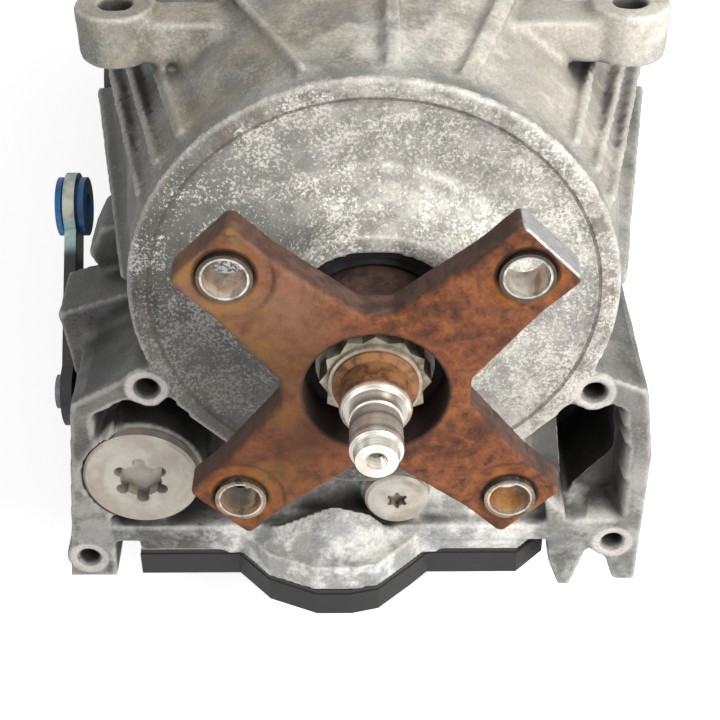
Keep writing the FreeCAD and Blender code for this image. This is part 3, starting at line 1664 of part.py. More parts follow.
def rear_carrier():
    """Rear planet carrier with the middle shaft to clutch E and the hub of brake D."""
    front = mm.rear_set_depth - 1 - mm.side_gap - mm.carrier_plate
    rear = mm.short_set_depth + mm.gear_width + 4 + mm.side_gap
    hub = mm.pack_hub_radius + 13
    shaft = mm.middle_shaft_radius
    middle = turned(
        "middle_shaft",
        [
            (0, mm.clutch_e_depth + 1),
            (shaft, mm.clutch_e_depth + 1),
            (shaft, mm.clutch_e_depth + mm.pack_length + 4),
            (shaft + 16, mm.clutch_e_depth + mm.pack_length + 4),
            (shaft + 16, mm.clutch_e_depth),
            (shaft + 20, mm.clutch_e_depth),
            (shaft + 20, mm.clutch_e_depth + mm.pack_length + 4 + mm.web),
            (shaft, mm.clutch_e_depth + mm.pack_length + 4 + mm.web),
            (shaft, rear),
            (planet_centre() + 9, rear),
            (planet_centre() + 9, rear + mm.carrier_plate),
            (0, rear + mm.carrier_plate),
        ],
    )
    plate_front = turned(
        "carrier_front",
        [
            (mm.large_sleeve_radius + 1, front),
            (hub - mm.drum_wall, front),
            (hub - mm.drum_wall, mm.brake_d_depth - 2),
            (hub, mm.brake_d_depth - 2),
            (hub, front + mm.carrier_plate),
            (mm.large_sleeve_radius + 1, front + mm.carrier_plate),
        ],
    )
    parts = [plate_front]
    length = rear - front + mm.carrier_plate
    for number, angle in enumerate(LONG_ANGLES):
        parts.append(carrier_pin(f"long_pin{number}", planet_centre(), angle, front, length))
        short_angle = angle + short_offset()
        parts.append(carrier_pin(f"short_pin{number}", short_centre(), short_angle, front + 1, length - 1))
        x, z = around(planet_centre() - 1, (short_angle + angle + 120) / 2)
        parts.append(rod(f"rear_column{number}", mm.column_radius, x, front + 1, z, length - 2))
    publish("rear_carrier", joined("rear_carrier", middle, *parts))


def rear_ring_gear():
    """Rear ring gear with the web that turns the output shaft."""
    own = (0.5 - (LONG_ANGLES[0] - long_tooth(LONG_ANGLES[0])) * float(mm.planet_teeth) / 360) % 1
    tooth = LONG_ANGLES[0] + own * 360 / float(mm.ring_teeth)
    outer = mm.gear_module * mm.ring_teeth / 2 + mm.ring_wall
    front = mm.short_set_depth - 1
    teeth = ring_gear_shape(mm.ring_teeth, mm.gear_module, tooth, (0, 0), front, mm.gear_width + 6, outer)
    rim_front = front + mm.gear_width + 5
    web_front = mm.park_depth - 17
    body = turned(
        "rear_ring_turned",
        [
            (outer - 3, rim_front),
            (outer, rim_front),
            (outer, web_front + mm.web),
            (mm.output_shaft_radius + 8, web_front + mm.web),
            (mm.output_shaft_radius + 8, mm.park_depth),
            (mm.output_shaft_radius, mm.park_depth),
            (mm.output_shaft_radius, web_front),
            (outer - 3, web_front),
        ],
    )
    publish("rear_ring_gear", joined("rear_ring_gear", body, feature("rear_ring_teeth", teeth)))


# Output shaft, bearing, flange and nut


def output_shaft():
    face = mm.flange_face_depth
    recess = face - mm.flange_recess_depth
    nut_end = recess + mm.nut_length + 1
    stub_start = mm.stub_depth - mm.stub_length
    stub = mm.stub_radius
    body = turned(
        "output_turned",
        [
            (0, mm.park_depth - 19),
            (mm.output_shaft_radius, mm.park_depth - 19),
            (mm.output_shaft_radius, mm.bearing_depth),
            (mm.bearing_seat_radius, mm.bearing_depth),
            (mm.bearing_seat_radius, mm.bearing_depth + mm.bearing_width),
            (mm.spline_radius, mm.bearing_depth + mm.bearing_width),
            (mm.spline_radius, recess),
            (mm.thread_radius, recess),
            (mm.thread_radius, nut_end),
            (mm.shaft_collar_radius, nut_end + 1),
            (mm.shaft_collar_radius, stub_start - 2),
            (mm.shaft_collar_radius - 1.5, stub_start),
            (stub, stub_start),
            (stub, stub_start + 3),
            (stub - 0.4, stub_start + 3.4),
            (stub - 0.4, stub_start + 4.4),
            (stub, stub_start + 4.8),
            (stub, mm.stub_depth - 4),
            (stub - 0.9, mm.stub_depth - 3.2),
            (stub - 1.5, mm.stub_depth),
            (mm.stub_centre_hole, mm.stub_depth),
            (mm.stub_centre_hole * 0.55, mm.stub_depth - 3),
            (mm.stub_centre_hole * 0.55, mm.stub_depth - 8),
            (0, mm.stub_depth - 9),
        ],
    )
    publish("output_shaft", body)


def park_gear():
    """Toothed wheel on the output shaft that the pawl can hold."""
    start = float(mm.park_depth)
    count = round(float(mm.park_teeth))
    points = []
    for tooth in range(count):
        middle = 2 * math.pi * tooth / count
        for radius, half in ((mm.park_root_radius, -0.32), (mm.park_radius, -0.22), (mm.park_radius, 0.22),
                             (mm.park_root_radius, 0.32)):
            angle = middle + half * 2 * math.pi / count
            points.append(point(float(radius) * math.cos(angle), start, float(radius) * math.sin(angle)))
    outline = Part.Face(Part.makePolygon(points + points[:1]))
    wheel = outline.extrude(FreeCAD.Vector(0, -float(mm.park_width), 0))
    publish("park_gear", feature("park_gear", wheel.cut(round_shape(mm.output_shaft_radius, (0, 0), start,
                                                                   mm.park_width))))


def output_bearing():
    start = mm.bearing_depth
    track = (mm.bearing_outer_radius + mm.bearing_seat_radius) / 2
    middle = start + mm.bearing_width / 2
    for label, inner, outer in (
        ("bearing_outer_race", mm.bearing_outer_radius - mm.race_wall, mm.bearing_outer_radius),
        ("bearing_inner_race", mm.bearing_seat_radius, mm.bearing_seat_radius + mm.race_wall),
    ):
        body = ring(label + "_ring", inner, outer, start, mm.bearing_width)
        groove = doc.addObject("Part::Torus", label + "_groove")
        bind(groove, "Radius1", track)
        bind(groove, "Radius2", mm.ball_radius + mm.running_gap)
        turn(groove, (1, 0, 0), 90)
        place(groove, 0, middle, 0)
        publish(label, cut(label, body, groove))
    shapes = []
    pockets = []
    count = round(float(mm.ball_count))
    reach = float(mm.ball_radius) + 2.4
    cage = round_shape(track + 1.6, (0, 0), middle - reach, reach * 2)
    cage = cage.cut(round_shape(track - 1.6, (0, 0), middle - reach - 1, reach * 2 + 2))
    for index in range(count):
        x, z = polar(track, index * 360 / count)
        shapes.append(Part.makeSphere(float(mm.ball_radius), point(x, middle, z)))
        outward = FreeCAD.Vector(x, 0, z)
        pocket = Part.makeCylinder(float(mm.ball_radius) + 0.4, 8, point(x, middle, z), outward)
        pocket.translate(outward.normalize() * -4)
        pockets.append(pocket)
    cage = cage.cut(pockets)
    publish("bearing_balls", feature("bearing_balls", Part.makeCompound(shapes + [cage])))


def output_seal():
    """Radial shaft seal in the case collar, with its lip at the flange hub."""
    rear = mm.rim_depth + mm.collar_height - 1
    front = rear - mm.seal_width
    lip = mm.flange_hub_radius + mm.running_gap
    body = turned(
        "seal_turned",
        [
            (mm.seal_radius, front),
            (mm.seal_radius, rear),
            (mm.seal_radius - 2, rear),
            (mm.seal_radius - 2.6, rear - 1.4),
            (lip + 1.6, rear - 1),
            (lip, rear - 2.4),
            (lip + 1.2, front + 3),
            (mm.seal_radius - 2.4, front + 2),
            (mm.seal_radius - 2.4, front),
        ],
    )
    publish("output_seal", body)


def output_flange():
    """Four-armed flange: the arms are drafted, with a spot face round each bolt hole."""
    face = mm.flange_face_depth
    back = face - mm.flange_thickness
    hub = turned(
        "flange_hub",
        [
            (mm.spline_radius, mm.bearing_depth + mm.bearing_width),
            (mm.flange_hub_radius, mm.bearing_depth + mm.bearing_width),
            (mm.flange_hub_radius, back - 4),
            (mm.flange_hub_radius + 3, back),
            (mm.flange_recess_radius + 6, back + 2),
            (mm.flange_recess_radius + 6, face),
            (mm.flange_recess_radius, face),
            (mm.flange_recess_radius, face - mm.flange_recess_depth),
            (mm.spline_radius, face - mm.flange_recess_depth),
        ],
    )
    half = mm.flange_arm_half_width
    reach = mm.flange_arm_reach
    waist = mm.flange_notch_reach * 0.5 + 2.6
    outline = []
    for degrees in (45, 135, 225, 315):
        for along, across in ((waist + 5, -half - 3.4), (reach - 15, -half), (reach, -half), (reach, half),
                              (reach - 15, half), (waist + 5, half + 3.4)):
            outline.append(turned_place(along, across, degrees))
    arms_body = plate("flange_arms", outline, back, mm.flange_thickness)
    bore = rod("flange_arms_bore", mm.flange_recess_radius, 0, back - 1, 0, mm.flange_thickness + 2)
    holes = []
    for index, degrees in enumerate((45, 135, 225, 315)):
        x, z = around(mm.flange_bolt_circle, degrees)
        holes.append(rod(f"flange_hole{index}", mm.sleeve_radius, x, back - 1, z, mm.flange_thickness + 2))
        holes.append(rod(f"flange_spot{index}", mm.sleeve_radius + 5.6, x, face - 0.7, z, 2))
    rounded = soften_arms(cut("flange_arms", arms_body, bore))
    whole = joined("output_flange", rounded, hub)
    publish("output_flange", cut("output_flange", whole, *holes))


def turned_place(along, across, degrees):
    """(x, z) bound to the sheet, from a place along and across a direction."""
    cosine = round(math.cos(math.radians(degrees)), 9)
    sine = round(math.sin(math.radians(degrees)), 9)
    return (along * cosine - across * sine, along * sine + across * cosine)


def soften_arms(arms):
    """Round the long edges of the arms on the face that is seen from behind."""
    doc.recompute()
    fillet = doc.addObject("Part::Fillet", "flange_arms_soft")
    fillet.Base = arms
    rear = -float(mm.flange_face_depth)
    edges = []
    for number, edge in enumerate(arms.Shape.Edges, 1):
        box = edge.BoundBox
        flat = abs(box.YMin - rear) < 1e-6 and abs(box.YMax - rear) < 1e-6
        straight = edge.Curve.TypeId == "Part::GeomLine"
        if flat and straight:
            edges.append((number, 1.8, 1.8))
        elif straight and box.YLength > 1:
            middle = edge.valueAt((edge.FirstParameter + edge.LastParameter) / 2)
            distance = math.hypot(middle.x, middle.z)
            notch = distance < float(mm.flange_notch_reach) + 8
            edges.append((number, 3.0, 3.0) if notch else (number, 2.2, 2.2))
    fillet.Edges = edges
    return fillet


def flange_sleeves():
    """Pressed sleeves that centre the coupling's bolts."""
    face = float(mm.flange_face_depth)
    length = float(mm.flange_thickness) + float(mm.sleeve_proud)
    shapes = []
    for degrees in (45, 135, 225, 315):
        centre = polar(mm.flange_bolt_circle, degrees)
        start = face - float(mm.flange_thickness)
        sleeve = round_shape(mm.sleeve_radius, centre, start, length)
        shapes.append(sleeve.cut(round_shape(mm.sleeve_bore, centre, start - 1, length + 2)))
    publish("flange_sleeves", feature("flange_sleeves", Part.makeCompound(shapes)))


def flange_nut():
    """Twelve-point nut with a round shoulder."""
    start = float(mm.flange_face_depth - mm.flange_recess_depth)
    length = float(mm.nut_length)
    outer = float(mm.nut_radius)
    points = []
    for index in range(24):
        radius = outer if index % 2 == 0 else outer - 1.9
        x, z = polar(radius, index * 15)
        points.append(point(x, start, z))
    star = Part.Face(Part.makePolygon(points + points[:1])).extrude(FreeCAD.Vector(0, -length + 1.5, 0))
    collar = round_shape(mm.nut_step_radius, (0, 0), start, length)
    washer = round_shape(outer + 1.2, (0, 0), start, 2)
    nut = star.fuse([collar, washer]).cut(round_shape(mm.thread_radius, (0, 0), start - 1, length + 2))
    publish("flange_nut", feature("flange_nut", nut))


# Park lock and selector


PAWL_ANGLE = 178


def pawl_pin_rod(name, radius, extra):
    x, z = around(mm.pawl_pivot_radius, PAWL_ANGLE)
    return rod(name, radius, x, mm.park_depth - 2, z, mm.cavity_end_depth - mm.park_depth + 2 + extra)


def park_pawl_pin():
    publish("park_pawl_pin", pawl_pin_rod("park_pawl_pin", mm.pawl_pin_radius, 8))


def park_pawl():
    """Pawl that swings about its pin towards the park wheel."""
    x, z = polar(mm.pawl_pivot_radius, PAWL_ANGLE)
    start = float(mm.park_depth) + 1
    width = float(mm.park_width) - 2
    inner = float(mm.park_radius + mm.pawl_gap)
    eye = round_shape(mm.pawl_pin_radius + 3.6, (x, z), start, width)
    points = []
    for degrees in range(182, 232, 6):
        points.append(polar(inner, degrees))
    for degrees in range(230, 180, -6):
        points.append(polar(inner + 8, degrees))
    outline = [point(px, start, pz) for px, pz in points]
    arm = Part.Face(Part.makePolygon(outline + outline[:1])).extrude(FreeCAD.Vector(0, -width, 0))
    bore = round_shape(mm.pawl_pin_radius + mm.running_gap, (x, z), start - 1, width + 2)
    publish("park_pawl", feature("park_pawl", eye.fuse(arm).cut(bore)))


def selector_shaft():
    """Cross shaft with its detent plate; the notches hold each gear position."""
    right = mm.chamber_right + 12
    shaft = bar("selector_bar", mm.selector_radius, -mm.lever_offset - 3, mm.selector_depth,
                mm.selector_level, mm.lever_offset + 3 - right)
    centre = point(-mm.chamber_left + 26, mm.selector_depth, mm.selector_level)
    across = FreeCAD.Vector(1, 0, 0)
    disc = Part.makeCylinder(float(mm.detent_radius), 3, centre, across)
    for index in range(5):
        angle = math.radians(256 + index * 12)
        notch_centre = FreeCAD.Vector(centre.x - 1, centre.y + float(mm.detent_radius) * math.cos(angle),
                                      centre.z + float(mm.detent_radius) * math.sin(angle))
        disc = disc.cut(Part.makeCylinder(2, 6, notch_centre, across))
    reach = float(mm.detent_radius) + 4
    top_corner = FreeCAD.Vector(centre.x - 5, centre.y - reach, centre.z + 9)
    rear_corner = FreeCAD.Vector(centre.x - 5, centre.y - reach - 12, centre.z - reach)
    top_trim = Part.makeBox(20, reach * 2, reach, top_corner)
    rear_trim = Part.makeBox(20, reach, reach * 2, rear_corner)
    plate_shape = disc.cut([top_trim, rear_trim])
    publish("selector_shaft", joined("selector_shaft", shaft, feature("detent_plate", plate_shape)))


def lever_end():
    """(depth, z) of the lever's eye."""
    angle = math.radians(float(mm.lever_angle))
    depth = float(mm.selector_depth) - float(mm.lever_length) * math.cos(angle)
    return depth, float(mm.selector_level) + float(mm.lever_length) * math.sin(angle)


def shift_lever():
    """Flat lever outside the case, from the selector shaft to an eye for the cable."""
    left = -float(mm.lever_offset)
    across = FreeCAD.Vector(1, 0, 0)
    thickness = float(mm.lever_thickness)
    root = point(left, mm.selector_depth, mm.selector_level)
    eye_depth, eye_level = lever_end()
    eye = point(left, eye_depth, eye_level)
    along = (eye - root).normalize()
    aside = along.cross(across)
    corners = [root + aside * 9, eye + aside * 7, eye - aside * 7, root - aside * 9]
    arm = Part.Face(Part.makePolygon(corners + corners[:1])).extrude(across * thickness)
    boss = Part.makeCylinder(float(mm.selector_radius) + 6, thickness, root, across)
    ring_shape = Part.makeCylinder(float(mm.lever_eye_radius), thickness, eye, across)
    shape = arm.fuse([boss, ring_shape])
    shape = shape.cut(Part.makeCylinder(float(mm.selector_radius), thickness + 2, root - across, across))
    shape = shape.cut(Part.makeCylinder(float(mm.lever_bush_radius), thickness + 2, eye - across, across))
    publish("shift_lever", feature("shift_lever", shape))


def lever_bush():
    """Soft bush in the lever's eye, with a shoulder on each side."""
    eye_depth, eye_level = lever_end()
    across = FreeCAD.Vector(1, 0, 0)
    length = float(mm.lever_bush_length)
    middle = -float(mm.lever_offset) + float(mm.lever_thickness) / 2
    start = point(middle - length / 2, eye_depth, eye_level)
    shape = Part.makeCylinder(float(mm.lever_bush_radius), length, start, across)
    for offset in (0, length - 2):
        shoulder = Part.makeCylinder(float(mm.lever_bush_radius) + 1.4, 2, start + across * offset, across)
        shape = shape.fuse(shoulder)
    shape = shape.cut(Part.makeCylinder(float(mm.lever_bush_bore), length + 2, start - across, across))
    publish("lever_bush", feature("lever_bush", shape))


def park_rod():
    """Rod along the case with the cone that lifts the pawl."""
    x, z = park_rod_place()
    start = float(mm.park_depth) + 2
    rod_end = float(mm.selector_depth) - 9
    long_way = round_shape(mm.park_rod_radius, (x, z), start + 14, rod_end - start - 14)
    cone = Part.makeCone(1.5, 5, 10, point(x, start + 6, z), FreeCAD.Vector(0, -1, 0))
    sleeve = round_shape(5, (x, z), start + 16, 6)
    plate_side = -float(mm.chamber_left) + 29.4
    hook_depth = float(mm.selector_depth) - 12
    hook = Part.makeCylinder(2, x - plate_side, point(plate_side, hook_depth, z), FreeCAD.Vector(1, 0, 0))
    publish("park_rod", feature("park_rod", joined_shape([long_way, cone, sleeve, hook])))


def park_rod_place():
    x, z = polar(float(mm.park_radius + mm.pawl_gap) + 14, 229)
    return x, z


def detent_spring():
    """Leaf spring with a roller that drops into the detent notches."""
    across = FreeCAD.Vector(1, 0, 0)
    centre = point(-mm.chamber_left + 26, mm.selector_depth, mm.selector_level)
    roller_level = centre.z - float(mm.detent_radius) - 2.6
    roller = Part.makeCylinder(2.4, 6, FreeCAD.Vector(centre.x - 1.5, centre.y, roller_level), across)
    length = float(mm.selector_depth - chamber_front())
    leaf = Part.makeBox(6, length, 1, FreeCAD.Vector(centre.x - 1.5, centre.y, roller_level - 3))
    foot = Part.makeBox(6, 3, 14, FreeCAD.Vector(centre.x - 1.5, centre.y + length - 3, roller_level - 3))
    publish("detent_spring", feature("detent_spring", roller.fuse([leaf, foot])))


def build():
    converter_housing()
    housing_bolts()
    main_case()
    oil_pan()
    pan_gasket()
    pan_bolts()
    drain_plug()
    valve_body()
    solenoids()
    oil_filter()
    electrical_connector()
    threaded_plug("fill_plug", mm.fill_plug_radius, mm.fill_thread_radius, mm.fill_plug_x,
                  mm.fill_plug_z, mm.rim_depth - mm.plug_head, 9.5, 4.5)
    threaded_plug("level_plug", mm.level_plug_radius, mm.level_thread_radius, mm.level_plug_x,
                  mm.level_plug_z, mm.rim_depth - mm.plug_head, 3.6, 3)
    pump_housing()
    pump_gears()
    pump_cover()
    converter_cover()
    turbine()
    converter_stator()
    input_shaft()
    front_ring_gear()
    plate_packs()
    front_planets()
    front_carrier()
    long_planets()
    short_planets()
    small_sun()
    large_sun()
    rear_carrier()
    rear_ring_gear()
    output_shaft()
    park_gear()
    output_bearing()
    output_seal()
    output_flange()
    flange_sleeves()
    flange_nut()
    park_pawl_pin()
    park_pawl()
    selector_shaft()
    shift_lever()
    lever_bush()
    park_rod()
    detent_spring()


def write_pieces():
    """Check every object and sub-part, then write one file for each sub-part."""
    doc.recompute()
    failed = [obj.Label for obj in doc.Objects if "Invalid" in obj.State or "Error" in obj.State]
    if failed:
        raise RuntimeError(f"objects that failed: {failed}")
    for label, obj in pieces.items():
        if obj.Shape.isNull() or not obj.Shape.isValid():
            raise RuntimeError(f"{label} has no valid shape")
    os.makedirs("parts", exist_ok=True)
    for label, obj in pieces.items():
        obj.Shape.exportStep(f"parts/{label}.step")
        print(f"{label}: {len(obj.Shape.Solids)} solid, {obj.Shape.Volume / 1000:.1f} cubic centimetres")


build()
write_pieces()
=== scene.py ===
import json
import math

import bpy
import numpy as np
from mathutils import Matrix, Vector


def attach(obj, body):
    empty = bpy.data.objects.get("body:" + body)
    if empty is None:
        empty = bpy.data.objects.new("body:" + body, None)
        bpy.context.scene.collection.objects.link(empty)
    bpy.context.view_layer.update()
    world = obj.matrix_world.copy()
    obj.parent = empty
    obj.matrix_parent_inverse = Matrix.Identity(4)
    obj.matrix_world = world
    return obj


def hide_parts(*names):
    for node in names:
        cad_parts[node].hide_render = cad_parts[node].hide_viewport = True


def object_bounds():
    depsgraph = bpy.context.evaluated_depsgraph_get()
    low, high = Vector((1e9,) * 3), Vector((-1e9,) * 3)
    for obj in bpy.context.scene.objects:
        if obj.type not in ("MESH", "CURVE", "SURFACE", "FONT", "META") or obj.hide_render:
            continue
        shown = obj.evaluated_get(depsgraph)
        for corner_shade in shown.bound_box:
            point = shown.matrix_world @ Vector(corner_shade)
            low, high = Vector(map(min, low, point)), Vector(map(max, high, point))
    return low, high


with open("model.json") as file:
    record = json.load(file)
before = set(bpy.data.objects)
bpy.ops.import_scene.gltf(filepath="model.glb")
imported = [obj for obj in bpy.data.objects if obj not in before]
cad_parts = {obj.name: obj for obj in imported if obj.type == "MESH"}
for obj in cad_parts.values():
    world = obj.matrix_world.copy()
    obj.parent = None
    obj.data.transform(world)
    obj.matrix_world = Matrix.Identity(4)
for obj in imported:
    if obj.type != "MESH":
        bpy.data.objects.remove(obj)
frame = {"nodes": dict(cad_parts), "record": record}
cad_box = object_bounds()
nodes = frame["nodes"]


# Numbers shared by the pieces and the materials, in metres

# Planes across the shaft, by their y
POCKET_FLOOR_Y = -0.546
FLANGE_Y = -0.603
# Pairs of planes between which one look turns into the next
DISC_FACE = (-0.5578, -0.5588)
POCKET_BACK = (-0.5585, -0.5555)
POCKET_FRONT = (-0.5, -0.508)
# Radii round the shaft: the disc's rim, what the pockets leave of it and its groove
RIM_RADIUS = 0.0731
RIM_REACH = 0.0738
GROOVE_RADIUS = 0.0668
# How far each bolt hole of the flange is from the shaft in x and in z
HOLE_PLACE = 0.055 * math.sqrt(0.5)
# The plugs and the mount holes, by their x and z, and the radii of their bosses
FILL_PLUG = (-0.076, -0.0715)
LEVEL_PLUG = (0.0078, -0.081)
MOUNT_HOLES = ((-0.0706, -0.033), (0.0689, -0.0355), (-0.0972, -0.1075), (0.0812, -0.101))
FILL_BOSS = 0.0206
MOUNT_BOSS = 0.0078
# The selector shaft by its y and z, and its lever
SELECTOR = (-0.512, -0.073)
LEVER_LENGTH = 0.0662
LEVER_ANGLE = 47.2
# Sign of x, sign of z and strength of the stains round each bolt hole
FLANGE_STAINS = ((-1, 1, 0.3), (1, 1, 0.35), (-1, -1, 0.5), (1, -1, 0.4))
SLEEVE_STAINS = ((-1, 1, 0.3), (1, 1, 0.35), (-1, -1, 0.9), (1, -1, 0.8))
# Place along the shaft, half width and strength of its worn rings
SHAFT_RINGS = ((-0.6125, 0.0011, 0.6), (-0.6186, 0.0005, 0.5), (-0.6240, 0.0006, 0.45))
# The plugs' faces, by x, z and radius, and the radians of their turning marks in each metre
PLUG_FACES = ((*FILL_PLUG, 0.022), (*LEVEL_PLUG, 0.013))
TURNING_MARKS = 9000.0
OCCLUSION_SAMPLES = 8


# Node helpers


class Shader:
    """A material's node tree, with short calls for the nodes that the looks need."""

    def __init__(self, name):
        self.material = bpy.data.materials.new(name)
        self.material.use_nodes = True
        self.tree = self.material.node_tree
        self.surface = self.tree.nodes["Principled BSDF"]
        self.coordinates = self.tree.nodes.new("ShaderNodeTexCoord")
        self.position = self.coordinates.outputs["Object"]
        self._axes = None

    def link(self, source, target):
        self.tree.links.new(source, target)

    def feed(self, socket, value):
        if isinstance(value, bpy.types.NodeSocket):
            self.link(value, socket)
        elif value is not None:
            socket.default_value = value

    def axis(self, name):
        if self._axes is None:
            split = self.tree.nodes.new("ShaderNodeSeparateXYZ")
            self.link(self.position, split.inputs[0])
            self._axes = split
        return self._axes.outputs[name]

    def maths(self, operation, a, b=None, c=None):
        node = self.tree.nodes.new("ShaderNodeMath")
        node.operation = operation
        for socket, value in zip(node.inputs, (a, b, c)):
            self.feed(socket, value)
        return node.outputs[0]

    def noise(self, scale, detail=4.0, rough=0.55, distortion=0.0, offset=None, stretch=None):
        node = self.tree.nodes.new("ShaderNodeTexNoise")
        node.inputs["Scale"].default_value = scale
        node.inputs["Detail"].default_value = detail
        node.inputs["Roughness"].default_value = rough
        node.inputs["Distortion"].default_value = distortion
        vector = self.position
        if offset is not None or stretch is not None:
            mapping = self.tree.nodes.new("ShaderNodeMapping")
            mapping.inputs["Location"].default_value = offset or (0, 0, 0)
            mapping.inputs["Scale"].default_value = stretch or (1, 1, 1)
            self.link(vector, mapping.inputs["Vector"])
            vector = mapping.outputs[0]
        self.link(vector, node.inputs["Vector"])
        return node.outputs["Fac"]

    def cells(self, scale):
        """Distance from the nearest of many scattered points."""
        node = self.tree.nodes.new("ShaderNodeTexVoronoi")
        node.inputs["Scale"].default_value = scale
        self.link(self.position, node.inputs["Vector"])
        return node.outputs["Distance"]

    def ramp(self, value, low, high, start=0.0, end=1.0):
        """Smooth step from start at low to end at high, held outside."""
        node = self.tree.nodes.new("ShaderNodeMapRange")
        node.interpolation_type = "SMOOTHSTEP"
        self.feed(node.inputs["Value"], value)
        node.inputs["From Min"].default_value = low
        node.inputs["From Max"].default_value = high
        node.inputs["To Min"].default_value = start
        node.inputs["To Max"].default_value = end
        return node.outputs["Result"]

    def mix(self, share, a, b):
        node = self.tree.nodes.new("ShaderNodeMix")
        node.data_type = "RGBA"
        self.feed(node.inputs[0], share)
        for socket, value in ((node.inputs[6], a), (node.inputs[7], b)):
            if isinstance(value, tuple):
                value = (*value, 1.0) if len(value) == 3 else value
            self.feed(socket, value)
        return node.outputs[2]

    def times(self, a, b):
        return self.maths("MULTIPLY", a, b)

    def plus(self, a, b):
        return self.maths("ADD", a, b)

    def radius_from(self, x, z):
        """Distance from a line along the shaft through x, z."""
        across = self.maths("SUBTRACT", self.axis("X"), x)
        up = self.maths("SUBTRACT", self.axis("Z"), z)
        return self.maths("SQRT", self.plus(self.times(across, across), self.times(up, up)))

    def facing(self, axis):
        """How far the surface faces along a row axis, from -1 to 1."""
        node = self.tree.nodes.new("ShaderNodeNewGeometry")
        split = self.tree.nodes.new("ShaderNodeSeparateXYZ")
        self.link(node.outputs["Normal"], split.inputs[0])
        return split.outputs[axis]

    def sharpness(self):
        node = self.tree.nodes.new("ShaderNodeNewGeometry")
        return node.outputs["Pointiness"]

    def shade(self, distance):
        """1 in the open and 0 deep in a corner."""
        node = self.tree.nodes.new("ShaderNodeAmbientOcclusion")
        node.samples = OCCLUSION_SAMPLES
        node.inputs["Distance"].default_value = distance
        return node.outputs["AO"]

    def finish(self, colour, rough, bump=None, strength=0.3, distance=0.001, metal=0.0, **extra):
        self.feed(self.surface.inputs["Base Color"], colour)
        self.feed(self.surface.inputs["Roughness"], rough)
        self.feed(self.surface.inputs["Metallic"], metal)
        for name, value in extra.items():
            self.feed(self.surface.inputs[name.replace("_", " ")], value)
        if bump is not None:
            node = self.tree.nodes.new("ShaderNodeBump")
            node.inputs["Strength"].default_value = strength
            node.inputs["Distance"].default_value = distance
            self.link(bump, node.inputs["Height"])
            self.link(node.outputs[0], self.surface.inputs["Normal"])
        return self.material


def rgb(red, green, blue):
    """A colour as seen on screen, 0 to 255, as the linear numbers that a shader takes."""
    result = []
    for value in (red, green, blue):
        share = value / 255
        result.append(share / 12.92 if share <= 0.04045 else ((share + 0.055) / 1.055) ** 2.4)
    return tuple(result)


# Materials


